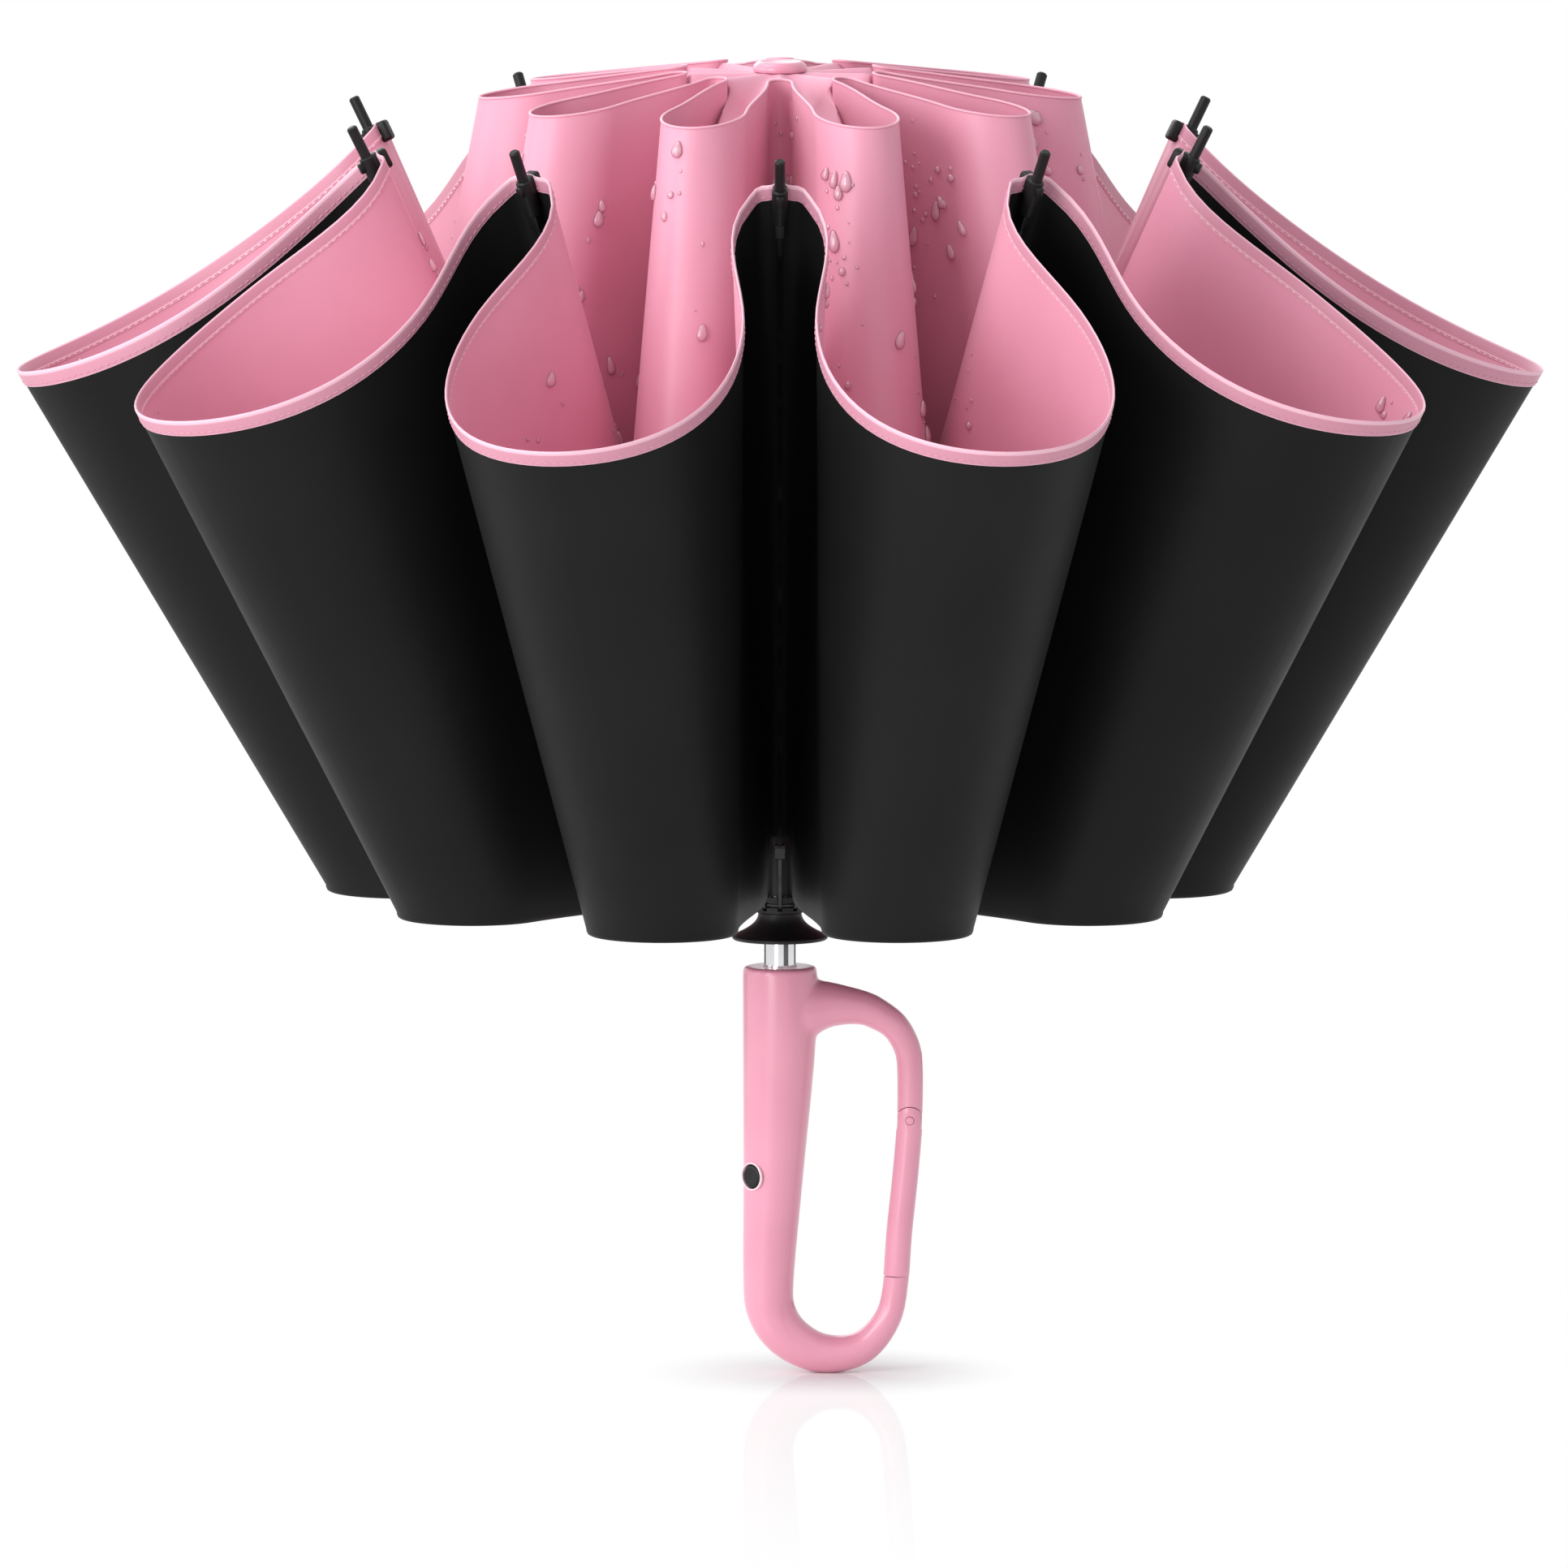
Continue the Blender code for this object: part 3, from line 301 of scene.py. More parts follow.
# Name, place, aim, size and power
LAMPS = (
    ("key", (-1.5, -1.7, 1.1), STUDIO_MIDDLE, (1.1, 1.4), 26),
    ("low_key", (-0.9, -1.9, 0.15), HANDLE_MIDDLE, (0.8, 0.6), 6.5),
    ("fill", (1.6, -1.6, 0.9), STUDIO_MIDDLE, (1.2, 1.6), 1.5),
    ("top", (-0.8, 0.1, 2.1), STUDIO_MIDDLE, (1.4, 1.4), 14),
    ("back", (-0.7, 1.9, 1.2), STUDIO_MIDDLE, (1.6, 1.2), 9),
    ("side", (-2.1, -0.3, 0.9), STUDIO_MIDDLE, (1.2, 1.2), 11),
)
# Name, place and size
DARK_CARDS = (
    ("right_card", (0.63, -0.65, 0.06), (0.6, 0.12)),
    ("back_right_card", (0.66, 0.62, 0.06), (0.4, 0.12)),
    ("back_left_card", (-0.66, 0.62, 0.06), (0.4, 0.12)),
)

# Camera, from the photograph's frame
PHOTO_WIDTH = 0.5796
CAMERA_DISTANCE = 20.0
CAMERA_RISE = math.radians(6.9)
CAMERA_AIM = Vector((0.0015, 0, 0.2193))
SENSOR = 36.0
CLIP_NEAR = 0.1
CLIP_FAR = 60.0

# Colours, in linear light
PINK = (0.81, 0.365, 0.485)
PINK_SHADE = (0.76, 0.32, 0.435)
# The rolled rim is paler than the cloth: a painted highlight along the petals' rim
RIM_HIGHLIGHT_PINK = (0.85, 0.43, 0.54)
RIM_HIGHLIGHT_DARKER = (0.8, 0.38, 0.49)
TAPE_FACE = (0.62, 0.265, 0.355)
# Painted highlight for the tape's fold and edges
TAPE_HIGHLIGHT = (0.86, 0.5, 0.6)
THREAD_PINK = (0.72, 0.33, 0.425)
THREAD_SHADE = (0.66, 0.29, 0.385)
GRIP_PINK = (0.79, 0.33, 0.445)
GRIP_SHADE = (0.74, 0.295, 0.405)
# The ring round the button is near white: a painted highlight round the button
BEZEL_HIGHLIGHT_PINK = (0.9, 0.66, 0.73)
BEZEL_HIGHLIGHT_DARKER = (0.86, 0.6, 0.68)
LINING = (0.0095, 0.0095, 0.01)
LINING_SHADE = (0.007, 0.007, 0.0075)
NYLON = (0.009, 0.009, 0.0095)
NYLON_SHADE = (0.005, 0.005, 0.0055)
LACQUER = (0.012, 0.012, 0.013)
LACQUER_RUBBED = (0.05, 0.05, 0.053)
PLATING = (0.8, 0.8, 0.82)
PLATING_SHADE = (0.66, 0.66, 0.68)
WIRE = (0.6, 0.6, 0.61)
WIRE_TARNISH = (0.3, 0.29, 0.28)
# Water painted in the pink of the cloth seen through it, with painted shade at its edge
WATER = (0.95, 0.55, 0.67)
WATER_EDGE_SHADE = (0.2, 0.04, 0.08)

# Finishes
BANDS_PER_TURN = 20
SATIN_SHEEN = 0.45
CLOTH_GLOSS = (-0.04, 0.05)
MOULDED_GLOSS = (-0.04, 0.06)
TAPE_PITCH = 0.0006
TAPE_END = 0.98
# Where the tape's tone turns, as shares of the way across it: its fold and edges are paler, a
# painted highlight
TAPE_HIGHLIGHT_PLACES = (0.03, 0.47, 0.6)
TAPE_FACES = (0.07, 0.42, 0.66, 0.94)
PLATING_PITCH = 0.0007

# Edges and welds of the modelled pieces
SHARP = 40
WELD = 0.00001

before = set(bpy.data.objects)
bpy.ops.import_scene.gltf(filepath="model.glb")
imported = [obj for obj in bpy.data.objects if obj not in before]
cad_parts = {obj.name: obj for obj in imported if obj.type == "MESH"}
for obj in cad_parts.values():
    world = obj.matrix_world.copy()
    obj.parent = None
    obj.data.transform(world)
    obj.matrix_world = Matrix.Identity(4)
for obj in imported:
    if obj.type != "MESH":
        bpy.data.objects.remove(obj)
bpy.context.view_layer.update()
bpy.ops.object.select_all(action="DESELECT")


# Materials


def wave_scale(pitch):
    """The wave node's scale at which its bands repeat at a pitch in metres."""
    return math.tau / BANDS_PER_TURN / pitch


class Finish:
    """A material with a Principled shader, and short calls for the nodes in front of it."""

    def __init__(self, name, **sockets):
        self.material = bpy.data.materials.new(name)
        self.material.use_nodes = True
        self.tree = self.material.node_tree
        self.shader = self.tree.nodes["Principled BSDF"]
        self.place = self.node("ShaderNodeTexCoord")
        for socket, value in sockets.items():
            self.shader.inputs[socket.replace("_", " ")].default_value = value

    def node(self, kind, inputs=None, **settings):
        made = self.tree.nodes.new(kind)
        for name, value in settings.items():
            setattr(made, name, value)
        for socket, value in (inputs or {}).items():
            if isinstance(value, bpy.types.NodeSocket):
                self.tree.links.new(value, made.inputs[socket])
            else:
                made.inputs[socket].default_value = value
        return made

    def noise(self, scale, detail=2.0):
        inputs = {"Vector": self.place.outputs["Object"], "Scale": scale, "Detail": detail}
        return self.node("ShaderNodeTexNoise", inputs).outputs["Fac"]

    def wave(self, direction, pitch, source="UV", **settings):
        """Bands that repeat at a pitch in metres."""
        inputs = {"Vector": self.place.outputs[source], "Scale": wave_scale(pitch), **settings}
        made = self.node("ShaderNodeTexWave", inputs, bands_direction=direction)
        return made.outputs["Fac"]

    def spread(self, value, low, high):
        """A value from 0 to 1 mapped on a range."""
        made = self.node("ShaderNodeMapRange", {"Value": value, "To Min": low, "To Max": high})
        return made.outputs["Result"]

    def colours(self, value, first, second, start=0.3, end=0.7):
        made = self.node("ShaderNodeValToRGB", {"Fac": value})
        ramp = made.color_ramp.elements
        ramp[0].position = start
        ramp[0].color = (*first, 1)
        ramp[1].position = end
        ramp[1].color = (*second, 1)
        return made.outputs["Color"]

    def bump(self, height, strength, distance, before=None):
        inputs = {"Height": height, "Strength": strength, "Distance": distance}
        if before is not None:
            inputs["Normal"] = before
        return self.node("ShaderNodeBump", inputs).outputs["Normal"]

    def math(self, operation, first, second):
        return self.node("ShaderNodeMath", {0: first, 1: second}, operation=operation).outputs[0]

    def to(self, socket, output):
        self.tree.links.new(output, self.shader.inputs[socket])
        return self

    def tone(self, dark, light, scale, detail=2.0, start=0.3, end=0.7):
        """Uneven colour between two tones."""
        spots = self.noise(scale, detail)
        return self.to("Base Color", self.colours(spots, dark, light, start, end))

    def gloss(self, low, high, scale, detail=2.0):
        """Uneven roughness between two values."""
        return self.to("Roughness", self.spread(self.noise(scale, detail), low, high))

    def grain(self, scale, strength, distance):
        """Fine relief all over."""
        return self.to("Normal", self.bump(self.noise(scale), strength, distance))


def cloth_finish(name, dark, light, roughness, sheen, pitch=0.0004, thread=0.00003, **sockets):
    """Satin weave on the piece's own UV map, which is in metres, with soft uneven tone."""
    made = Finish(name, Sheen_Weight=sheen, Sheen_Roughness=SATIN_SHEEN, **sockets)
    weave = made.math("MULTIPLY", made.wave("X", pitch), made.wave("Y", pitch))
    made.tone(dark, light, scale=14.0, detail=3.0)
    smoother, rougher = (roughness + change for change in CLOTH_GLOSS)
    made.gloss(smoother, rougher, scale=60.0)
    drape = made.bump(made.noise(scale=9.0, detail=1.0), strength=0.25, distance=0.0012)
    made.to("Normal", made.bump(weave, strength=0.35, distance=thread, before=drape))
    return made.material


def tape_finish(name, face, fold):
    """Satin tape that is paler where it is folded and at its edges, a painted highlight, across
    its UV map's second axis.
    """
    made = Finish(name, Sheen_Weight=0.14, Sheen_Roughness=SATIN_SHEEN)
    uv = made.place.outputs["UV"]
    across = made.node("ShaderNodeSeparateXYZ", {"Vector": uv}).outputs["Y"]
    share = made.math("DIVIDE", across, BINDING_OUTSIDE * 2)
    # fold is the colour of the painted highlight at the tape's fold and edges
    tones = made.node("ShaderNodeValToRGB", {"Fac": share})
    ramp = tones.color_ramp.elements
    ramp[0].color = (*fold, 1)
    ramp[1].position = TAPE_END
    ramp[1].color = (*fold, 1)
    for positions, colour in ((TAPE_HIGHLIGHT_PLACES, fold), (TAPE_FACES, face)):
        for position in positions:
            ramp.new(position).color = (*colour, 1)
    made.to("Base Color", tones.outputs["Color"])
    made.gloss(low=0.4, high=0.5, scale=60.0)
    weave = made.wave("X", TAPE_PITCH)
    made.to("Normal", made.bump(weave, strength=0.3, distance=0.00003))
    return made.material


def moulded_finish(name, dark, light, roughness, coat, grain=0.00002, specular=0.5):
    """Moulded plastic: even tone with a faint flow, fine grain and a thin gloss."""
    made = Finish(name, Coat_Weight=coat, Coat_Roughness=0.12, Specular_IOR_Level=specular)
    made.tone(dark, light, scale=28.0)
    smoother, rougher = (roughness + change for change in MOULDED_GLOSS)
    made.gloss(smoother, rougher, scale=420.0, detail=4.0)
    made.grain(scale=2600.0, strength=0.3, distance=grain)
    return made.material


def lacquered_steel(name):
    """Black lacquer on drawn steel, thinner and brighter along the rubbed places."""
    made = Finish(name, Metallic=0.55, Coat_Weight=0.4, Coat_Roughness=0.2)
    made.tone(LACQUER, LACQUER_RUBBED, scale=95.0, detail=6.0, start=0.45, end=0.8)
    made.gloss(low=0.26, high=0.44, scale=300.0, detail=3.0)
    made.grain(scale=1500.0, strength=0.2, distance=0.00002)
    return made.material


def plated_tube(name):
    """Bright plating with fine lines that run round the tube, and a few wiped marks."""
    made = Finish(name, Metallic=1.0)
    lines = made.wave("Z", PLATING_PITCH, source="Object", Distortion=1.5, Detail=2.0)
    made.tone(PLATING_SHADE, PLATING, scale=40.0)
    made.gloss(low=0.06, high=0.16, scale=180.0, detail=4.0)
    made.to("Normal", made.bump(lines, strength=0.05, distance=0.00001))
    return made.material


def drawn_wire(name):
    """Spring and binding wire with lines along its draw and a little tarnish."""
    made = Finish(name, Metallic=1.0)
    made.tone(WIRE_TARNISH, WIRE, scale=120.0, detail=4.0)
    made.gloss(low=0.2, high=0.42, scale=700.0, detail=3.0)
    made.grain(scale=2200.0, strength=0.25, distance=0.00002)
    return made.material


def rain_water(name):
    """Clear water on pink cloth: it shows the cloth through, has the cloth's pink painted in,
    darkens at its edge with painted shade, and shines.
    """
    made = Finish(
        name,
        Roughness=0.03,
        IOR=1.5,
        Specular_IOR_Level=1.0,
        Coat_Weight=1.0,
        Coat_Roughness=0.02,
    )
    edge = made.node("ShaderNodeLayerWeight", {"Blend": 0.4}).outputs["Facing"]
    # Painted shade: the base colour darkens towards the drop's edge
    made.to("Base Color", made.colours(edge, WATER, WATER_EDGE_SHADE, start=0.15, end=0.8))
    made.to("Alpha", made.spread(edge, low=0.5, high=1.0))
    made.grain(scale=420.0, strength=0.15, distance=0.00005)
    return made.material


pink_cloth = cloth_finish("pink_satin", PINK_SHADE, PINK, roughness=0.42, sheen=0.12)
black_cloth = cloth_finish(
    "black_lining", LINING_SHADE, LINING, roughness=0.5, sheen=0.0, Specular_IOR_Level=0.12
)
rim_highlight_cloth = cloth_finish(
    "pink_rim_highlight", RIM_HIGHLIGHT_DARKER, RIM_HIGHLIGHT_PINK, roughness=0.42, sheen=0.16, pitch=0.0006
)
binding_cloth = tape_finish("pink_binding", TAPE_FACE, TAPE_HIGHLIGHT)
thread_cloth = cloth_finish(
    "pink_thread", THREAD_SHADE, THREAD_PINK, roughness=0.6, sheen=0.2, pitch=0.0002
)
pink_plastic = moulded_finish("pink_moulding", GRIP_SHADE, GRIP_PINK, roughness=0.3, coat=0.35)
black_plastic = moulded_finish(
    "black_nylon", NYLON_SHADE, NYLON, roughness=0.42, coat=0.0, grain=0.00004, specular=0.28
)
highlight_plastic = moulded_finish("pale_moulding_highlight", BEZEL_HIGHLIGHT_DARKER, BEZEL_HIGHLIGHT_PINK, roughness=0.25, coat=0.3)
black_steel = lacquered_steel("black_lacquer")
bright_tube = plated_tube("bright_plating")
bright_wire = drawn_wire("drawn_wire")
water = rain_water("rain_water")


# Modelling by hand


def deselect():
    bpy.ops.object.select_all(action="DESELECT")


def pick(piece):
    """Makes one piece the selected and active one."""
    deselect()
    piece.select_set(True)
    bpy.context.view_layer.objects.active = piece
    return piece


def edit(piece, everything=True):
    pick(piece)
    bpy.ops.object.mode_set(mode="EDIT")
    bpy.ops.mesh.select_all(action="SELECT" if everything else "DESELECT")


def done():
    bpy.ops.object.mode_set(mode="OBJECT")


def apply_modifier(piece, kind, **settings):
    pick(piece)
    made = piece.modifiers.new(kind.lower(), kind)
    for name, value in settings.items():
        setattr(made, name, value)
    bpy.ops.object.modifier_apply(modifier=made.name)
    return piece


def smooth(piece, degrees=SHARP):
    pick(piece)
    bpy.ops.object.shade_smooth_by_angle(angle=math.radians(degrees))
    return piece


def seat(piece):
    """Puts the piece's place into its mesh, so that its object is at the origin."""
    pick(piece)
    bpy.ops.object.transform_apply(location=True, rotation=True, scale=True)
    return piece


def outwards(piece):
    edit(piece)
    bpy.ops.mesh.remove_doubles(threshold=WELD)
    bpy.ops.mesh.normals_make_consistent(inside=False)
    done()
    return piece


def finish_piece(piece, finish, body=None):
    """Material and body of a finished piece."""
    piece.data.materials.clear()
    piece.data.materials.append(finish)
    if body:
        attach(piece, body)
    return piece


def turned(name, profile, steps=48, closed=False):
    """A ring drawn out along a profile of (radius, height), closed on itself or capped."""
    radius, height = profile[0]
    bpy.ops.mesh.primitive_circle_add(
        vertices=steps,
        radius=radius,
        fill_type="NOTHING" if closed else "NGON",
        enter_editmode=True,
    )
    piece = bpy.context.object
    piece.name = name
    bpy.ops.transform.translate(value=(0, 0, height))
    for new_radius, new_height in profile[1:]:
        bpy.ops.mesh.extrude_region_move(
            TRANSFORM_OT_translate={"value": (0, 0, new_height - height)}
        )
        share = new_radius / radius
        bpy.ops.transform.resize(value=(share, share, 1), center_override=(0, 0, new_height))
        radius, height = new_radius, new_height
    if closed:
        shape = bmesh.from_edit_mesh(piece.data)
        last_ring = [vertex.select for vertex in shape.verts]
        for number, vertex in enumerate(shape.verts):
            vertex.select_set(last_ring[number] or number < steps)
        shape.select_flush(True)
        bmesh.update_edit_mesh(piece.data)
        bpy.ops.mesh.bridge_edge_loops()
    done()
    return outwards(piece)


def tube_run(name, points, radii, sides):
    """A round run through points, with a radius at each, made from a drawn curve."""
    bpy.ops.curve.primitive_bezier_curve_add()
    drawn = bpy.context.object
    drawn.name = name
    curve = drawn.data
    curve.dimensions = "3D"
    curve.splines.clear()
    spline = curve.splines.new("POLY")
    spline.points.add(len(points) - 1)
    widest = max(radii)
    for point, place, radius in zip(spline.points, points, radii):
        point.co = (*place, 1)
        point.radius = radius / widest
    curve.bevel_depth = widest
    curve.bevel_resolution = max(0, sides // 2 - 2)
    curve.use_fill_caps = True
    curve.twist_mode = "MINIMUM"
    pick(drawn)
    bpy.ops.object.convert(target="MESH")
    return outwards(bpy.context.object)


def rod_between(name, start, end, radius, sides):
    """A cylinder primitive laid between two points."""
    start, end = Vector(start), Vector(end)
    run = end - start
    bpy.ops.mesh.primitive_cylinder_add(
        vertices=sides,
        radius=radius,
        depth=run.length,
        location=(start + end) / 2,
        rotation=run.to_track_quat("Z", "Y").to_euler(),
    )
    piece = bpy.context.object
    piece.name = name
    return seat(piece)


def block_between(name, low, high):
    low, high = Vector(low), Vector(high)
    bpy.ops.mesh.primitive_cube_add(size=1, location=(low + high) / 2, scale=high - low)
    piece = bpy.context.object
    piece.name = name
    return seat(piece)


def combine(piece, other, operation):
    """A Boolean with another piece, which then goes."""
    apply_modifier(piece, "BOOLEAN", object=other, operation=operation, solver="EXACT")
    bpy.data.objects.remove(other)
    return piece


def joined(name, pieces):
    deselect()
    for piece in pieces:
        piece.select_set(True)
    bpy.context.view_layer.objects.active = pieces[0]
    if len(pieces) > 1:
        bpy.ops.object.join()
    pieces[0].name = name
    return pieces[0]


def copied(piece, name, bearing):
    """A copy with its own mesh, turned about the shaft from bearing 0."""
    made = piece.copy()
    made.data = piece.data.copy()
    made.name = name
    made.data.transform(Matrix.Rotation(bearing, 4, "Z"))
    bpy.context.scene.collection.objects.link(made)
    return made


# Shape of the cloth


def rib_bearing(number):
    return FRONT + number * RIB_STEP


def label(name, number):
    return f"{name}_{number + 1:02d}"


def rod_line(along, inward=0.0):
    """A point of a rib's rod, from its root, in the plane of the rib."""
    aside = ROD_OFFSET - inward
    return (
        RIB_HINGE_RADIUS + math.cos(RIB_LEAN) * aside + math.sin(RIB_LEAN) * along,
        RIB_HINGE_Z - math.sin(RIB_LEAN) * aside + math.cos(RIB_LEAN) * along,
    )


FOLD_APEX = rod_line(FOLD_FROM_ROOT, ROD_RADIUS + CLOTH_GAP + SOLID_CLOTH / 2)
HEM_APEX = rod_line(TIP_FROM_HINGE + SLEEVE_LENGTH, SLEEVE_RADIUS + CLOTH_GAP + SOLID_CLOTH / 2)
VALLEY_SHARES = [step / VALLEY_STEPS for step in range(VALLEY_STEPS + 1)]
VALLEY_TURNS = [QUARTER * share for share in VALLEY_SHARES]
ARCH_TURNS = [
    ARCH_SPREAD * share * (ARCH_EVEN + (1 - ARCH_EVEN) * share) for share in VALLEY_SHARES
]


def flowing_point(start, end, leave, arrive, share, reach=1):
    """A point of the smooth line between two points that leaves and arrives on given ways."""
    return (
        (2 * share**3 - 3 * share**2 + 1) * start
        + (share**3 - 2 * share**2 + share) * reach * leave
        + (3 * share**2 - 2 * share**3) * end
        + (share**3 - share**2) * reach * arrive
    )


def half_section(centre, length, radius, valley, half, depth, turns):
    """Points from the valley on a rib's plane out to the next lobe's crest, rib along +X.

    The lobe is an oval with its length along its bearing and its radius aside. The valley is
    part of an ellipse with its own half width and depth.
    """
    made = []
    for turn in turns:
        made.append(Vector((valley + depth * (1 - math.cos(turn)), half * math.sin(turn))))
    start = made[-1].copy()
    leave = Vector((depth * math.sin(turns[-1]), half * math.cos(turns[-1]))).normalized()
    lobe = Matrix.Rotation(HALF_STEP, 2)
    sweep = QUARTER + HALF_STEP
    end = lobe @ Vector((centre + length * math.cos(sweep), -radius * math.sin(sweep)))
    arrive = (lobe @ Vector((length * math.sin(sweep), radius * math.cos(sweep)))).normalized()
    reach = (end - start).length
    for step in range(1, STRAIGHT_STEPS):
        made.append(flowing_point(start, end, leave, arrive, step / STRAIGHT_STEPS, reach))
    for step in range(ARC_STEPS):
        turn = sweep * (1 - step / ARC_STEPS)
        place = Vector((centre + length * math.cos(turn), -radius * math.sin(turn)))
        made.append(lobe @ place)
    made.append(lobe @ Vector((centre + length, -CREST_STRIP)))
    made.append(lobe @ Vector((centre + length, 0)))
    return made


def ease(value):
    """A smooth step from 0 to 1."""
    value = min(1.0, max(0.0, value))
    return value * value * (3 - 2 * value)


def fold_height(number):
    """Height of the fold at a column: level up to the slot, then up and over the hinge."""
    climb = 1 - number / VALLEY_STEPS
    return FOLD_Z + (FOLD_APEX[1] - FOLD_Z) * ease(climb * 2)


def rim_height(radius):
    """Height of the petals' rim: it falls evenly from the crown out to the crest."""
    share = (radius - RIM_VALLEY) / (RIM_CENTRE + RIM_LOBE_LENGTH - RIM_VALLEY)
    return RIM_Z + RIM_RISE * (1 - share)


def wall_columns():
    """For each column of half a wall: its fold point, and its hem point.

    The hem falls away from its apex at the rib, steeply at first and then less.
    """
    fold = half_section(
        FOLD_CENTRE,
        FOLD_LOBE_RADIUS,
        FOLD_LOBE_RADIUS,
        FOLD_APEX[0],
        VALLEY_HALF,
        VALLEY_HALF,
        VALLEY_TURNS,
    )
    climb = (HEM_GUIDE_Z - FOLD_APEX[1]) / (HEM_APEX[1] - FOLD_APEX[1])
    guide = half_section(
        HEM_CENTRE,
        HEM_LOBE_LENGTH,
        HEM_LOBE_RADIUS,
        FOLD_APEX[0] + (HEM_APEX[0] - FOLD_APEX[0]) * climb,
        ARCH_HALF,
        ARCH_DEPTH,
        ARCH_TURNS,
    )
    lobe = Vector((math.cos(HALF_STEP), math.sin(HALF_STEP)))
    made = []
    for number, (low, high) in enumerate(zip(fold, guide)):
        foot_z = fold_height(number)
        slope = (high - low) / (HEM_GUIDE_Z - foot_z)
        lean = slope.dot(lobe)
        run = low.dot(lobe) - HEM_APEX[0] * math.cos(HALF_STEP)
        square = HEM_FLATTENING * lean**2
        linear = (2 * HEM_FLATTENING * run - HEM_FALL) * lean - 1
        level = HEM_APEX[1] - foot_z - HEM_FALL * run + HEM_FLATTENING * run**2
        rise = 2 * level / (math.sqrt(linear**2 - 4 * square * level) - linear)
        foot = Vector((*(low + slope * FOLD_RADIUS), foot_z + FOLD_RADIUS))
        hem = Vector((*(low + slope * rise), foot_z + rise))
        made.append((foot, hem))
    return made


def inner_feet(feet):
    """Where the fold turns up again, on its lobe's side of the wall's feet."""
    made = []
    for number, foot in enumerate(feet):
        before = feet[number - 1] if number else Vector((feet[1].x, -feet[1].y, 0))
        run = feet[min(number + 1, len(feet) - 1)] - before
        made.append(foot + Vector((-run.y, run.x, 0)).normalized() * FOLD_RADIUS)
    return made


def wall_half():
    """Grid of half an outer wall: rows from the hem down, and round the fold."""
    columns = wall_columns()
    rows = []
    for row in range(WALL_ROWS + 1):
        rows.append([hem.lerp(foot, row / WALL_ROWS) for foot, hem in columns])
    feet = [foot for foot, hem in columns]
    for step in range(1, FOLD_ROWS + 1):
        turn = math.pi * step / FOLD_ROWS
        ring = []
        for foot, inner in zip(feet, inner_feet(feet)):
            place = foot.lerp(inner, (1 - math.cos(turn)) / 2)
            place.z -= FOLD_RADIUS * math.sin(turn)
            ring.append(place)
        rows.append(ring)
    return rows


def rim_section():
    return half_section(
        RIM_CENTRE,
        RIM_LOBE_LENGTH,
        RIM_LOBE_RADIUS,
        RIM_VALLEY,
        RIM_VALLEY_HALF,
        RIM_VALLEY_HALF,
        VALLEY_TURNS,
    )


def petal_half():
    """Grid of half an inner wall: rows from the rim down to the fold."""
    tops = [Vector((*place, rim_height(place.length))) for place in rim_section()]
    feet = inner_feet([foot for foot, hem in wall_columns()])
    rows = []
    for row in range(WALL_ROWS + 1):
        rows.append([top.lerp(foot, row / WALL_ROWS) for top, foot in zip(tops, feet)])
    return rows


def both_sides(rows, shared_first):
    """Mirrors half rows across the X-Z plane, with the shared column in the middle."""
    made = []
    for row in rows:
        mirrored = [Vector((place.x, -place.y, place.z)) for place in row]
        if shared_first:
            made.append(mirrored[:0:-1] + row)
        else:
            made.append(row + mirrored[-2::-1])
    return made


def turned_rows(rows, bearing):
    turn = Matrix.Rotation(bearing, 4, "Z")
    return [[turn @ place for place in row] for row in rows]


def lengths_along(points):
    total = [0.0]
    for first, second in zip(points, points[1:]):
        total.append(total[-1] + (second - first).length)
    return total


def piece_from(name, shape):
    """A new piece from a finished bmesh, which then goes."""
    mesh = bpy.data.meshes.new(name)
    shape.to_mesh(mesh)
    shape.free()
    piece = bpy.data.objects.new(name, mesh)
    bpy.context.scene.collection.objects.link(piece)
    return piece


def cloth_piece(name, rows, outward):
    """A sheet from a grid of points, with a UV map in metres and its faces turned outwards."""
    shape = bmesh.new()
    uv = shape.loops.layers.uv.new("UVMap")
    middle = lengths_along(rows[len(rows) // 2])
    fall = lengths_along([row[len(rows[0]) // 2] for row in rows])
    grid = [[shape.verts.new(place) for place in row] for row in rows]
    for j in range(len(rows) - 1):
        for i in range(len(rows[0]) - 1):
            corners = ((j, i), (j + 1, i), (j + 1, i + 1), (j, i + 1))
            face = shape.faces.new([grid[a][b] for a, b in corners])
            face.smooth = True
            for loop, (a, b) in zip(face.loops, corners):
                loop[uv].uv = (middle[b], fall[a])
    shape.normal_update()
    shape.faces.ensure_lookup_table()
    if shape.faces[len(rows[0]) // 4].normal.dot(outward) < 0:
        bmesh.ops.reverse_faces(shape, faces=shape.faces)
    return piece_from(name, shape)


def two_tone(piece, outside, inside):
    """Gives the sheet its thickness, one finish outside and the other inside and at the edges."""
    piece.data.materials.append(outside)
    piece.data.materials.append(inside)
    apply_modifier(
        piece,
        "SOLIDIFY",
        thickness=CLOTH,
        offset=0.0,
        material_offset=1,
        material_offset_rim=0,
    )
    return smooth(piece, CLOTH_SHARP)


def row_frames(rows, outward_hint):
    """For each column of the first row: its place, the way down the cloth, and its normal."""
    top, below = rows[0], rows[1]
    made = []
    for number, place in enumerate(top):
        down = (below[number] - place).normalized()
        before = top[max(number - 1, 0)]
        after = top[min(number + 1, len(top) - 1)]
        along = (after - before).normalized()
        normal = along.cross(down).normalized()
        made.append([place, down, normal])
    if made[len(made) // 4][2].dot(outward_hint) < 0:
        for entry in made:
            entry[2] = -entry[2]
    return made


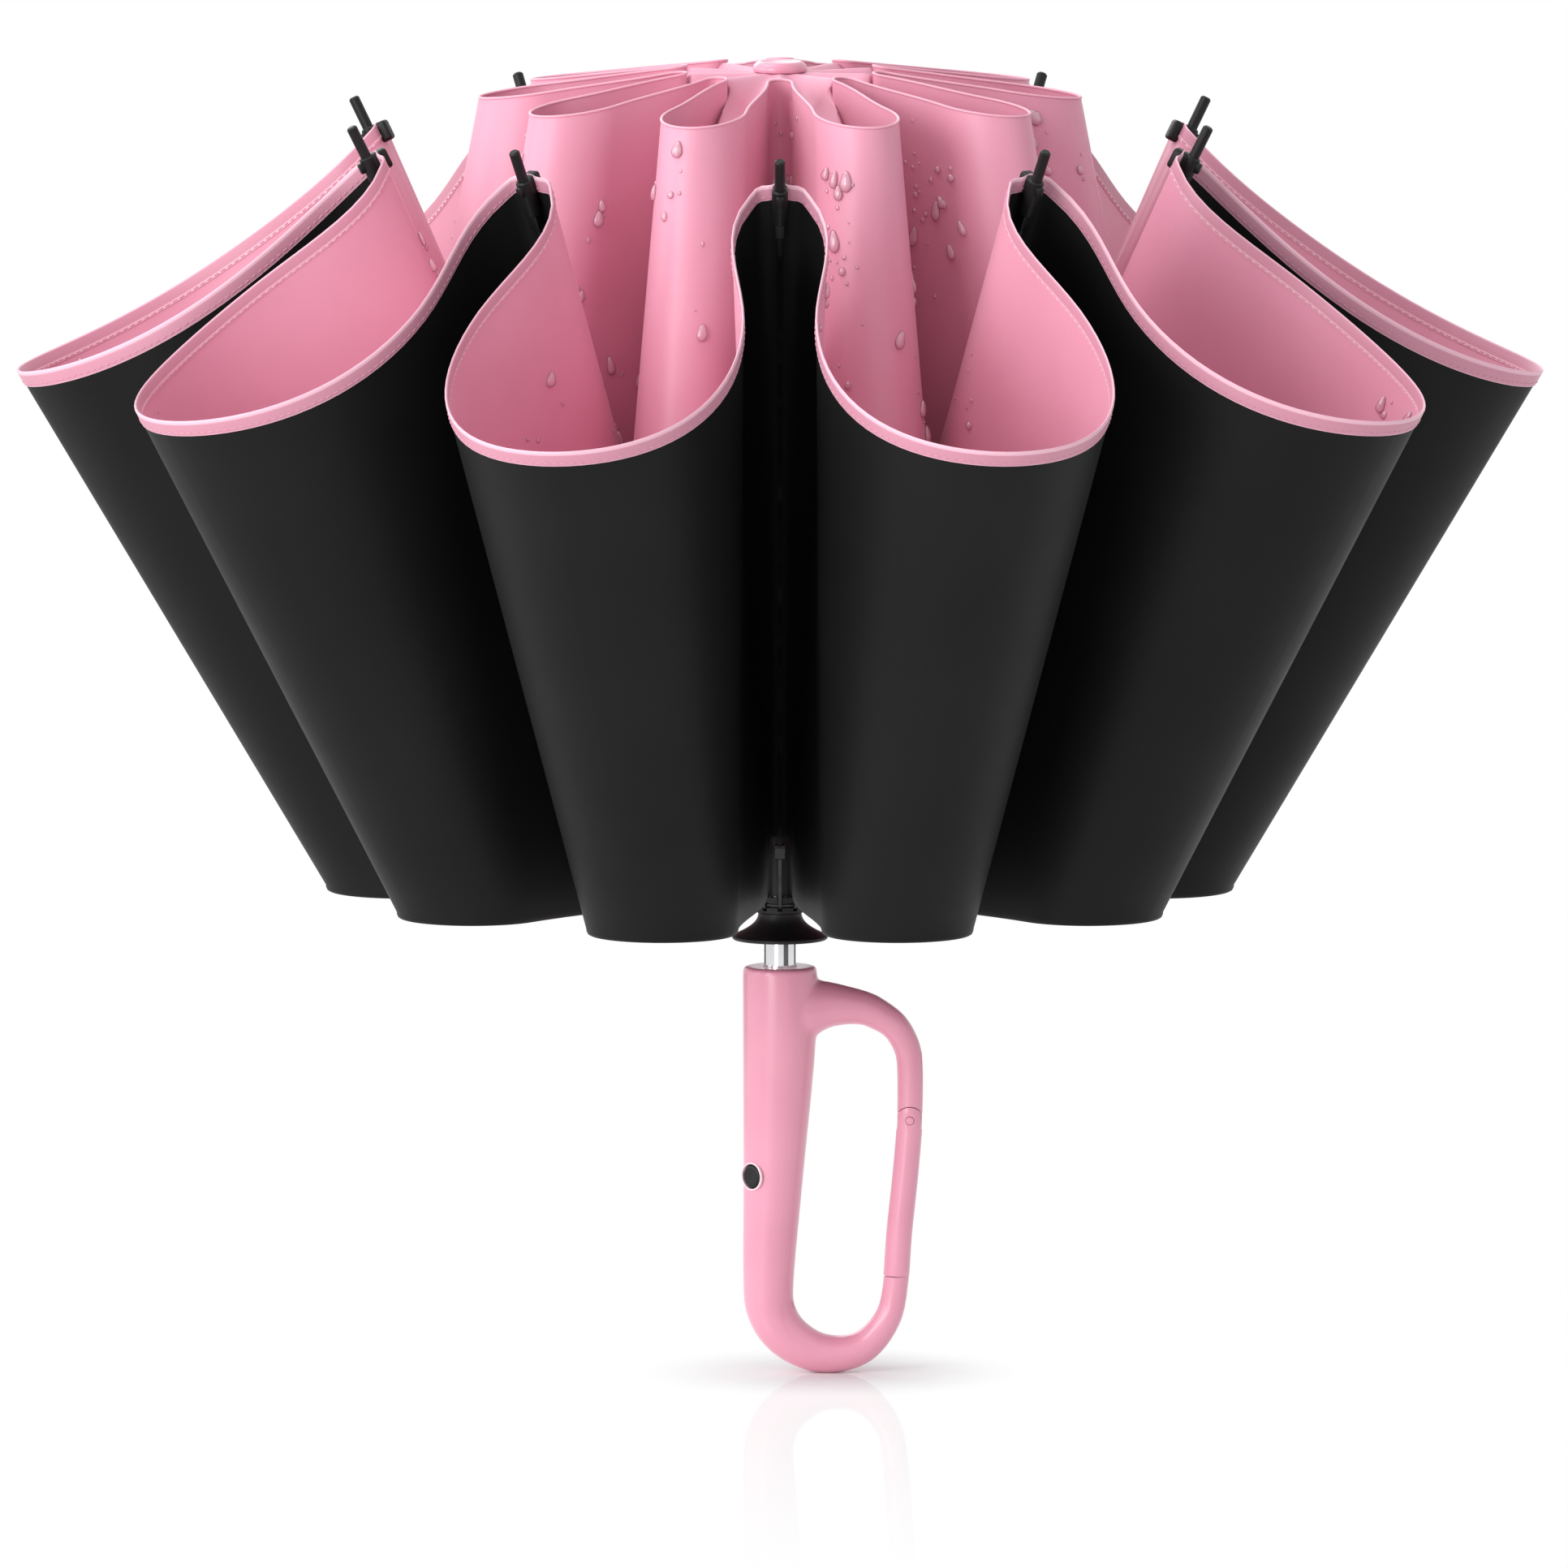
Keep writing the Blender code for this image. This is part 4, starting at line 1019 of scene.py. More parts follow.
def swept_piece(name, frames, profile):
    """A closed profile of (out, down) carried along a row of frames, with closed ends."""
    shape = bmesh.new()
    uv = shape.loops.layers.uv.new("UVMap")
    along = lengths_along([entry[0] for entry in frames])
    around = lengths_along([Vector((out, down, 0)) for out, down in profile])
    rings = []
    for place, down, normal in frames:
        rings.append([shape.verts.new(place + normal * a + down * b) for a, b in profile])
    count = len(profile)
    for i in range(len(rings) - 1):
        for k in range(count):
            corners = ((i, k), (i + 1, k), (i + 1, (k + 1) % count), (i, (k + 1) % count))
            face = shape.faces.new([rings[a][b] for a, b in corners])
            for loop, (a, b) in zip(face.loops, corners):
                loop[uv].uv = (along[a], around[b])
    shape.faces.new(rings[0])
    shape.faces.new(rings[-1])
    bmesh.ops.recalc_face_normals(shape, faces=shape.faces)
    return smooth(piece_from(name, shape))


def binding_profile():
    """The tape that is folded over the hem: wide outside, a little less inside."""
    inner = CLOTH / 2
    outer = inner + BINDING_THICKNESS
    edge = BINDING_THICKNESS / 2
    return [
        (inner, BINDING_OUTSIDE),
        (outer, BINDING_OUTSIDE - edge),
        (outer, edge),
        (outer * BINDING_ROUND, -edge),
        (0, -outer),
        (-outer * BINDING_ROUND, -edge),
        (-outer, edge),
        (-outer, BINDING_INSIDE - edge),
        (-inner, BINDING_INSIDE),
        (-inner, edge),
        (inner, edge),
    ]


def round_profile(radius, sides=10):
    return [
        (radius * math.cos(math.tau * i / sides), radius * math.sin(math.tau * i / sides))
        for i in range(sides)
    ]


def spaced_frames(frames, pitch):
    """Frames at an even pitch along a row, each with the way along it."""
    along = lengths_along([entry[0] for entry in frames])
    made = []
    count = int(along[-1] / pitch)
    number = 0
    for step in range(count):
        reach = (step + 0.5) * along[-1] / count
        while along[number + 1] < reach:
            number += 1
        share = (reach - along[number]) / (along[number + 1] - along[number])
        first, second = frames[number], frames[number + 1]
        place = first[0].lerp(second[0], share)
        down = first[1].lerp(second[1], share).normalized()
        normal = first[2].lerp(second[2], share).normalized()
        made.append((place, down, normal, (second[0] - first[0]).normalized()))
    return made


def stamped_piece(name, stamp, places):
    """One piece of many copies of a small shape, each with a matrix."""
    shape = bmesh.new()
    for place in places:
        start = len(shape.verts)
        shape.from_mesh(stamp)
        shape.verts.ensure_lookup_table()
        bmesh.ops.transform(shape, matrix=place, verts=shape.verts[start:])
    piece = piece_from(name, shape)
    for face in piece.data.polygons:
        face.use_smooth = True
    return piece


def axes_matrix(place, x_axis, y_axis, z_axis):
    made = Matrix.Identity(4)
    for number, axis in enumerate((x_axis, y_axis, z_axis)):
        for k in range(3):
            made[k][number] = axis[k]
    made.translation = place
    return made


def stitch_stamp():
    """One stitch: a short thread with ends that dip into the tape."""
    half = STITCH_LENGTH / 2
    flat = half * STITCH_FLAT
    plump = THREAD * THREAD_PLUMP
    points = [(-half, 0, -THREAD), (-flat, 0, 0), (flat, 0, 0), (half, 0, -THREAD)]
    piece = tube_run("stitch", points, [THREAD, plump, plump, THREAD], sides=6)
    mesh = piece.data
    bpy.data.objects.remove(piece)
    return mesh


def bead_stamp(tail):
    """A bead of water 1 across that stands on the cloth, drawn out downwards by its tail."""
    bpy.ops.mesh.primitive_uv_sphere_add(
        segments=12, ring_count=8, radius=0.5, enter_editmode=True
    )
    piece = bpy.context.object
    bpy.ops.mesh.bisect(
        plane_co=(0, 0, -BEAD_FOOT), plane_no=(0, 0, 1), use_fill=True, clear_inner=True
    )
    bpy.ops.mesh.select_all(action="SELECT")
    bpy.ops.transform.resize(value=(1, 1, BEAD_HEIGHT), center_override=(0, 0, 0))
    shape = bmesh.from_edit_mesh(piece.data)
    for vertex in shape.verts:
        if vertex.co.y > 0:
            narrow = 1 - TAIL_NARROWING * tail * min(1.0, vertex.co.y * 2)
            vertex.co.x *= narrow
            vertex.co.z *= 0.5 + 0.5 * narrow
            vertex.co.y *= 1 + TAIL_STRETCH * tail
    bmesh.update_edit_mesh(piece.data)
    done()
    outwards(piece)
    mesh = piece.data
    bpy.data.objects.remove(piece)
    return mesh


def held(value, low, high):
    """The value, kept between two limits."""
    return min(high, max(low, value))


def bead_places(rows, clusters, away, draw, high, low):
    """Places for clusters of beads on a grid of cloth, between two shares of its fall.

    The beads stand on the side that looks away from the shaft, or else on the other one.
    """
    columns = len(rows[0]) - 1
    falls = len(rows) - 1
    edge = rows[2][0]
    level = (rows[2][1] - edge).cross(edge - rows[3][0])
    sign = 1 if (level.dot(Vector((edge.x, edge.y, 0))) > 0) == away else -1
    down_width = CLUSTER_WIDTH * CLUSTER_STRETCH
    made = []
    for _ in range(clusters):
        middle = draw.uniform(*CLUSTER_ACROSS)
        height = draw.uniform(high, low)
        for _ in range(draw.randint(CLUSTER_LEAST, CLUSTER_MOST)):
            across = held(draw.gauss(middle, CLUSTER_WIDTH), *BEAD_ACROSS) * columns
            fall = held(draw.gauss(height, down_width), high, BEAD_LOWEST) * falls
            i, j = int(across), int(fall)
            corner, right, below = rows[j][i], rows[j][i + 1], rows[j + 1][i]
            place = corner + (right - corner) * (across - i) + (below - corner) * (fall - j)
            along = (right - corner).normalized()
            up = (corner - below).normalized()
            normal = along.cross(up).normalized() * sign
            size = draw.uniform(*(BEAD_LARGE if draw.random() < LARGE_SHARE else BEAD_SMALL))
            turn = Matrix.Rotation(draw.uniform(-BEAD_TURN, BEAD_TURN), 3, normal)
            up_axis = turn @ up
            spot = axes_matrix(
                place + normal * (CLOTH / 2 + size * BEAD_SEAT),
                up_axis.cross(normal).normalized() * size * draw.uniform(*BEAD_WIDTH),
                up_axis * size * draw.uniform(*BEAD_LENGTH),
                normal * size,
            )
            made.append((spot, size))
    return made


# Cloth pieces


WALL_HALF = wall_half()
PETAL_HALF = petal_half()
WALL_ROWS_FULL = both_sides(WALL_HALF, shared_first=True)


def bend_with_rib(piece):
    """Puts the piece's place into its mesh, so that its object is at the origin.
    """
    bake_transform(piece)


def add_rain(kind, number, chosen, beads):
    """The round beads and the long ones of one cloth, as one piece."""
    drops = []
    for tail, stamp in enumerate(beads):
        spots = [spot for spot, size in chosen if (size > LONG_BEAD) == bool(tail)]
        if spots:
            drops.append(stamped_piece(f"{kind}_{tail}", stamp, spots))
    return finish_piece(joined(label(kind, number), drops), water)


def add_wall(number, stitch, beads, draw):
    """One outer wall, from crest to crest round a rib, with its bound hem."""
    bearing = rib_bearing(number)
    rows = turned_rows(WALL_ROWS_FULL, bearing)
    to_slot = Matrix.Rotation(bearing, 4, "Z") @ Vector((0, 1, 0))
    wall = cloth_piece(label("outer_cloth", number), rows, to_slot)
    two_tone(wall, black_cloth, pink_cloth)

    frames = row_frames(rows, to_slot)
    tape = swept_piece(label("hem_binding", number), frames, binding_profile())
    finish_piece(tape, binding_cloth)

    spots = []
    offset = CLOTH / 2 + BINDING_THICKNESS + THREAD * THREAD_SEAT
    for place, down, normal, along in spaced_frames(frames, STITCH_PITCH):
        seam = place + down * STITCH_DEPTH
        for side in (1, -1):
            face = normal * side
            spots.append(axes_matrix(seam + face * offset, along, face.cross(along), face))
    stitches = stamped_piece(label("hem_stitching", number), stitch, spots)
    finish_piece(stitches, thread_cloth)

    above_fold = rows[: WALL_ROWS + 1]
    chosen = bead_places(above_fold, WALL_CLUSTERS, False, draw, *WALL_FALL)
    rain = add_rain("wall_rain", number, chosen, beads)

    for piece in (wall, tape, stitches, rain):
        bend_with_rib(piece)
    return wall


def add_petal(number, beads, draw):
    """One inner wall, from crest to crest round a rib's valley, with a rolled rim in a paler
    pink, a painted highlight.
    """
    bearing = rib_bearing(number)
    rows = turned_rows(both_sides(PETAL_HALF, shared_first=True), bearing)
    facing = Matrix.Rotation(bearing, 4, "Z") @ Vector((0, 1, 0))
    petal = cloth_piece(label("inner_cloth", number), rows, facing)
    petal.data.materials.append(pink_cloth)
    apply_modifier(petal, "SOLIDIFY", thickness=CLOTH, offset=0.0)
    smooth(petal, CLOTH_SHARP)

    frames = row_frames(rows, facing)
    rim = swept_piece(label("petal_rim", number), frames, round_profile(ROLLED_EDGE))
    # The rim's paler pink is a painted highlight
    finish_piece(rim, rim_highlight_cloth)

    chosen = bead_places(rows, PETAL_CLUSTERS, True, draw, *PETAL_FALL)
    rain = add_rain("petal_rain", number, chosen, beads)

    for piece in (petal, rim, rain):
        bend_with_rib(piece)


def add_cloth():
    draw = random.Random(RAIN_SEED)
    stitch = stitch_stamp()
    beads = (bead_stamp(0), bead_stamp(LONG_BEAD_TAIL))
    walls = [add_wall(number, stitch, beads, draw) for number in range(RIB_COUNT)]
    for number in range(RIB_COUNT):
        add_petal(number, beads, draw)
    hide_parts("canopy")


def crown_rows():
    """Half a rib's share of the crown cloth: ridges over the ribs, soft pockets between."""
    floor = PETAL_HALF[POCKET_ROW]
    count = len(floor) - 1
    inner, outer = CROWN_PROFILE[0][0], CROWN_PROFILE[-1][0]
    rows = []
    for radius, height in CROWN_PROFILE:
        ring = []
        spread = (radius - inner) / (outer - inner)
        for number in range(count + 1):
            bearing = HALF_STEP * number / count
            sag = CROWN_SAG * ease(number / count) * spread**CROWN_SAG_GROWTH
            flat = (radius * math.cos(bearing), radius * math.sin(bearing))
            ring.append(Vector((*flat, height - sag)))
        rows.append(ring)
    edge = rows[-1]
    for step in range(1, POCKET_STEPS + 1):
        share = step / POCKET_STEPS
        ring = []
        for number in range(count + 1):
            before = floor[max(number - 1, 0)]
            after = floor[min(number + 1, count)]
            along = (after - before).normalized()
            inset = Vector((-along.y, along.x, 0)) * CLOTH * 2
            place = edge[number].lerp(floor[number] + inset, share)
            place.z = edge[number].z + (floor[number].z - edge[number].z) * ease(share)
            ring.append(place)
        rows.append(ring)
    return rows


def add_crown_cloth():
    """The cloth from the cap over the crown and down into the pocket of each petal."""
    whole = both_sides(crown_rows(), shared_first=True)
    pieces = []
    for number in range(RIB_COUNT):
        part = turned_rows(whole, rib_bearing(number))
        pieces.append(cloth_piece(f"cover_part_{number}", part, Vector((0, 0, 1))))
    cover = joined("crown_cloth", pieces)
    edit(cover)
    bpy.ops.mesh.remove_doubles(threshold=CROWN_WELD)
    done()
    cover.data.materials.clear()
    cover.data.materials.append(pink_cloth)
    apply_modifier(cover, "SOLIDIFY", thickness=CLOTH, offset=-1.0)
    smooth(cover, CROWN_SHARP)
    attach(cover, "upper_shaft")
    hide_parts("crown_cover")


# Rib tips


def add_tips():
    """Sleeve, nib, the block that holds the hem, catch and skirt, on each rib."""
    profile = [
        (SLEEVE_RADIUS - TIP_EDGE, 0),
        (SLEEVE_RADIUS, TIP_EDGE),
        (SLEEVE_RADIUS, SLEEVE_LENGTH - TIP_EDGE),
        (SLEEVE_RADIUS - TIP_EDGE, SLEEVE_LENGTH),
        (NIB_RADIUS, SLEEVE_LENGTH),
        (NIB_RADIUS, SLEEVE_LENGTH + NIB_LENGTH - TIP_EDGE),
        (NIB_RADIUS - TIP_EDGE, SLEEVE_LENGTH + NIB_LENGTH),
    ]
    parts = [turned("tip", profile, steps=28)]
    for name, low, high, width, segments in TIP_PARTS:
        part = block_between(name, low, high)
        parts.append(apply_modifier(part, "BEVEL", width=width, segments=segments))
    tip = smooth(joined("tip", parts), TIP_SHARP)
    start = rod_line(TIP_FROM_HINGE)
    place = Matrix.Translation((start[0], 0, start[1])) @ Matrix.Rotation(RIB_LEAN, 4, "Y")
    tip.data.transform(place)
    for number in range(RIB_COUNT):
        made = copied(tip, label("tip", number), rib_bearing(number))
        finish_piece(made, black_plastic, label("outer_rib", number))
        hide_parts(label("rib_tip", number))
    bpy.data.objects.remove(tip)


# Crown, shaft and runner


def add_cap():
    """The flat-topped cap with a rounded shoulder and a shallow dish."""
    base = CAP_TOP - CAP_HEIGHT
    profile = [(CAP_STEM_RADIUS, base - CAP_STEM_LENGTH), (CAP_STEM_RADIUS, base)]
    profile += [(CAP_RADIUS - inset, base + rise) for inset, rise in CAP_SHOULDER]
    profile += [(CAP_TOP_RADIUS - inset, CAP_TOP - drop) for inset, drop in CAP_DISH]
    profile.append((CAP_DISH_RADIUS, CAP_TOP - CAP_DISH_DEPTH))
    cap = smooth(turned("cap", profile, steps=64))
    finish_piece(cap, pink_plastic, "upper_shaft")
    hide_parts("top_cap")


def add_tubes():
    """The two tubes of the shaft, each with its ends rounded off."""
    for name, node, body, radius, wall, low, high in TUBES:
        edge = wall / 3
        profile = [
            (radius - wall, low),
            (radius - edge, low),
            (radius, low + edge),
            (radius, high - edge),
            (radius - edge, high),
            (radius - wall, high),
        ]
        tube = smooth(turned(name, profile, steps=72, closed=True))
        finish_piece(tube, bright_tube, body)
        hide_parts(node)


def add_bell():
    """The runner's flared skirt, with a rounded lip."""
    lift = BELL_TOP_Z - BELL_RIM_Z - BELL_LIP_TOP
    flare = BELL_RIM_RADIUS - BELL_NECK
    profile = [(BELL_NECK, BELL_RIM_Z + BELL_THROAT)]
    profile += [(BELL_RIM_RADIUS - inset, BELL_RIM_Z + rise) for inset, rise in BELL_LIP]
    for step in range(1, BELL_STEPS + 1):
        share = step / BELL_STEPS
        width = BELL_FLARE_LEAST + BELL_FLARE * (1 - share) ** BELL_CURVE
        profile.append((BELL_NECK + flare * width, BELL_RIM_Z + BELL_LIP_TOP + lift * share))
    profile.append((BELL_NECK, BELL_TOP_Z))
    bell = smooth(turned("bell", profile, steps=72, closed=True))
    finish_piece(bell, black_plastic, "runner")
    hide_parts("runner_bell")


def add_runner_neck():
    """The runner's thin sleeve on the shaft, behind the links."""
    profile = [
        (NECK_BORE, NECK_LOW),
        (NECK_RADIUS, NECK_LOW),
        (NECK_RADIUS, NECK_HIGH - NECK_EDGE_HEIGHT),
        (NECK_RADIUS - NECK_EDGE, NECK_HIGH),
        (NECK_BORE, NECK_HIGH),
    ]
    neck = smooth(turned("runner_neck", profile, closed=True))
    finish_piece(neck, black_plastic, "runner")


# Handle


def smooth_path(shares, steps):
    """Points and radii of a smooth line through the handle's shares."""
    keys = [Vector((x * LOOP_REACH, z * HANDLE_HEIGHT, r * GRIP_RADIUS)) for x, z, r in shares]
    made = []
    for i in range(len(keys) - 1):
        before = keys[max(i - 1, 0)]
        after = keys[min(i + 2, len(keys) - 1)]
        for step in range(steps):
            start_pull = (keys[i + 1] - before) / 2
            end_pull = (after - keys[i]) / 2
            made.append(flowing_point(keys[i], keys[i + 1], start_pull, end_pull, step / steps))
    made.append(keys[-1])
    return [(key.x, 0, key.y) for key in made], [key.z for key in made]


def limb_x(height):
    """Where the loop's thin limb is at a height."""
    points = smooth_path(HANDLE_PATH_SHARES, PATH_STEPS)[0]
    limb = [point for point in points if point[0] > LOOP_REACH / 2]
    below = max((point for point in limb if point[2] <= height), key=lambda point: point[2])
    above = min((point for point in limb if point[2] > height), key=lambda point: point[2])
    share = (height - below[2]) / (above[2] - below[2])
    return below[0] + (above[0] - below[0]) * share


def button_place():
    outward = Vector((-math.sin(BUTTON_TURN), -math.cos(BUTTON_TURN), 0))
    centre = Vector((-GRIP_SHIFT_AT_BUTTON, 0, BUTTON_Z))
    return outward, centre + outward * GRIP_RADIUS_AT_BUTTON


def pivot_cylinder(name, radius, reach):
    """A cylinder along the gate's pivot."""
    half = Vector((0, reach, 0))
    return rod_between(name, GATE_PIVOT - half, GATE_PIVOT + half, radius, sides=40)


def add_grip():
    """The moulded grip and loop, one soft form, then its bore, pocket and gate opening."""
    points, radii = smooth_path(HANDLE_PATH_SHARES, PATH_STEPS)
    grip = tube_run("grip", points, radii, HANDLE_SIDES)
    points, radii = smooth_path(ARCH_PATH_SHARES, PATH_STEPS)
    arch = tube_run("arch", points, radii, HANDLE_SIDES)
    combine(grip, arch, "UNION")
    above = HANDLE_HEIGHT + CUT_OVERRUN
    trim = block_between(
        "trim",
        (-TOP_TRIM_HALF, -TOP_TRIM_HALF, HANDLE_HEIGHT - TOP_TRIM),
        (TOP_TRIM_HALF, TOP_TRIM_HALF, above),
    )
    combine(grip, trim, "DIFFERENCE")
    apply_modifier(grip, "REMESH", mode="VOXEL", voxel_size=HANDLE_VOXEL, use_smooth_shade=True)
    apply_modifier(
        grip, "CORRECTIVE_SMOOTH", factor=0.5, iterations=HANDLE_SMOOTHING, use_only_smooth=True
    )

    bore_floor = (0, 0, HANDLE_HEIGHT - BORE_DEPTH)
    bore = rod_between("bore", bore_floor, (0, 0, above), TUBE_RADIUS + GAP, sides=64)
    combine(grip, bore, "DIFFERENCE")
    outward, surface = button_place()
    pocket = rod_between(
        "pocket",
        surface - outward * POCKET_DEPTH,
        surface + outward * POCKET_OVERRUN,
        BUTTON_RADIUS + GAP,
        sides=48,
    )
    combine(grip, pocket, "DIFFERENCE")
    reach = GATE_TOP_RADIUS * 2
    foot = limb_x(GATE_FOOT_Z)
    window = block_between(
        "window",
        (foot - reach, -reach, GATE_FOOT_Z - GAP),
        (GATE_PIVOT.x + reach, reach, GATE_PIVOT.z),
    )
    combine(grip, window, "DIFFERENCE")
    combine(grip, pivot_cylinder("socket", GATE_TOP_RADIUS + GAP, reach), "DIFFERENCE")
    tongue = block_between(
        "tongue",
        (GATE_PIVOT.x - TONGUE_RADIUS, -TONGUE_HALF, GATE_PIVOT.z),
        (GATE_PIVOT.x + TONGUE_RADIUS, TONGUE_HALF, GATE_PIVOT.z + TONGUE_RISE),
    )
    combine(grip, tongue, "UNION")
    combine(grip, pivot_cylinder("tongue_end", TONGUE_RADIUS, TONGUE_HALF), "UNION")
    combine(grip, pivot_cylinder("pin_hole", GATE_PIN_RADIUS + GAP, reach), "DIFFERENCE")
    smooth(grip)
    finish_piece(grip, pink_plastic, "handle")
    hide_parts("handle_grip")


def add_gate():
    """The sprung gate in the thin limb, forked over the grip's tongue."""
    top = GATE_PIVOT.z + GATE_TOP_RADIUS
    points = []
    for step in range(GATE_STEPS + 1):
        height = GATE_FOOT_Z + (top - GATE_FOOT_Z) * step / GATE_STEPS
        points.append((min(limb_x(height), GATE_PIVOT.x), 0, height))
    points[-1] = (GATE_PIVOT.x, 0, top + GATE_OVERRUN)
    gate = tube_run("gate", points, [LIMB_RADIUS] * len(points), HANDLE_SIDES)
    reach = GATE_TOP_RADIUS * 2
    keep = block_between(
        "keep",
        (GATE_PIVOT.x - reach, -reach, GATE_FOOT_Z - reach),
        (GATE_PIVOT.x + reach, reach, GATE_PIVOT.z),
    )
    combine(keep, pivot_cylinder("crest", GATE_TOP_RADIUS, reach), "UNION")
    combine(gate, keep, "INTERSECT")
    slot_floor = GATE_PIVOT.z - TONGUE_RADIUS - GAP
    slot = block_between(
        "slot",
        (GATE_PIVOT.x - reach, -TONGUE_HALF - GAP, slot_floor),
        (GATE_PIVOT.x + reach, TONGUE_HALF + GAP, GATE_PIVOT.z + reach),
    )
    combine(gate, slot, "DIFFERENCE")
    combine(gate, pivot_cylinder("gate_hole", GATE_PIN_RADIUS + GAP / 2, reach), "DIFFERENCE")
    apply_modifier(
        gate,
        "BEVEL",
        width=GATE_EDGE,
        segments=2,
        limit_method="ANGLE",
        angle_limit=GATE_EDGE_ANGLE,
    )
    smooth(gate)
    finish_piece(gate, pink_plastic, "gate")
    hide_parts("carabiner_gate")

    pin = pivot_cylinder("pivot_pin", GATE_PIN_RADIUS, LIMB_RADIUS + GATE_PIN_PROUD)
    apply_modifier(pin, "BEVEL", width=GATE_EDGE, segments=3, limit_method="ANGLE")
    smooth(pin)
    finish_piece(pin, pink_plastic, "handle")
    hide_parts("gate_pin")


def add_button():
    """The oval-looking round button in its raised rim, which is near white: a painted highlight.
    """
    outward, surface = button_place()
    turn = outward.to_track_quat("Z", "Y").to_matrix().to_4x4()
    edge, edge_height = BUTTON_FOOT_EDGE
    profile = [
        (BUTTON_RADIUS - edge, -BUTTON_DEPTH),
        (BUTTON_RADIUS, -BUTTON_DEPTH + edge_height),
    ]
    profile += [(BUTTON_RADIUS - inset, rise) for inset, rise in BUTTON_FACE]
    profile.append(BUTTON_MIDDLE)
    button = turned("button", profile, BUTTON_STEPS)
    ring = [(BUTTON_RADIUS + outset, rise) for outset, rise in BEZEL]
    bezel = turned("button_bezel", ring, BUTTON_STEPS, closed=True)
    for piece in (button, bezel):
        piece.data.transform(Matrix.Translation(surface) @ turn)
        smooth(piece)
    # The ring's near-white colour is a painted highlight
    finish_piece(bezel, highlight_plastic, "handle")
    finish_piece(button, black_plastic, "button")
    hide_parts("release_button")


# CAD nodes that show as they are


def dress_nodes():
    """Gives the solids that stay a worked finish."""
    finishes = {
        "gate_leaf_spring": bright_wire,
        "main_spring": bright_wire,
        "button_spring": bright_wire,
        "crown_wire": bright_wire,
        "runner_wire": bright_wire,
        "spring_plug": black_plastic,
        "crown": black_plastic,
        "runner": black_plastic,
    }
    for number in range(RIB_COUNT):
        for name in ("inner_rib", "outer_rib", "rib_link"):
            finishes[label(name, number)] = black_steel
    for name, finish in finishes.items():
        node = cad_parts[name]
        if not node.data.materials:
            node.data.materials.append(finish)
        for place in node.material_slots:
            place.material = finish


# Stage


def stage_node(tree, kind, **inputs):
    made = tree.nodes.new(kind)
    for socket, value in inputs.items():
        made.inputs[socket.replace("_", " ")].default_value = value
    return made


def seen_ray(tree):
    """1 for rays of the camera, of reflections and of what is seen through water."""
    path = tree.nodes.new("ShaderNodeLightPath")
    total = path.outputs["Is Camera Ray"]
    for name in ("Is Glossy Ray", "Is Transmission Ray"):
        made = tree.nodes.new("ShaderNodeMath")
        made.operation = "MAXIMUM"
        tree.links.new(total, made.inputs[0])
        tree.links.new(path.outputs[name], made.inputs[1])
        total = made.outputs[0]
    return total


def add_world():
    world = bpy.data.worlds.new("studio")
    bpy.context.scene.world = world
    world.use_nodes = True
    tree = world.node_tree
    tree.nodes.clear()
    soft = stage_node(
        tree, "ShaderNodeBackground", Color=(*STUDIO_LIGHT, 1), Strength=STUDIO_STRENGTH
    )
    white = stage_node(tree, "ShaderNodeBackground", Color=(1, 1, 1, 1), Strength=1.0)
    mix = tree.nodes.new("ShaderNodeMixShader")
    out = tree.nodes.new("ShaderNodeOutputWorld")
    tree.links.new(seen_ray(tree), mix.inputs[0])
    tree.links.new(soft.outputs[0], mix.inputs[1])
    tree.links.new(white.outputs[0], mix.inputs[2])
    tree.links.new(mix.outputs[0], out.inputs[0])


def fading(tree, distance, near, far):
    """1 up to one distance, 0 beyond another."""
    made = stage_node(tree, "ShaderNodeMapRange", From_Min=near, From_Max=far, To_Min=1, To_Max=0)
    made.interpolation_type = "SMOOTHSTEP"
    tree.links.new(distance, made.inputs["Value"])
    return made.outputs["Result"]


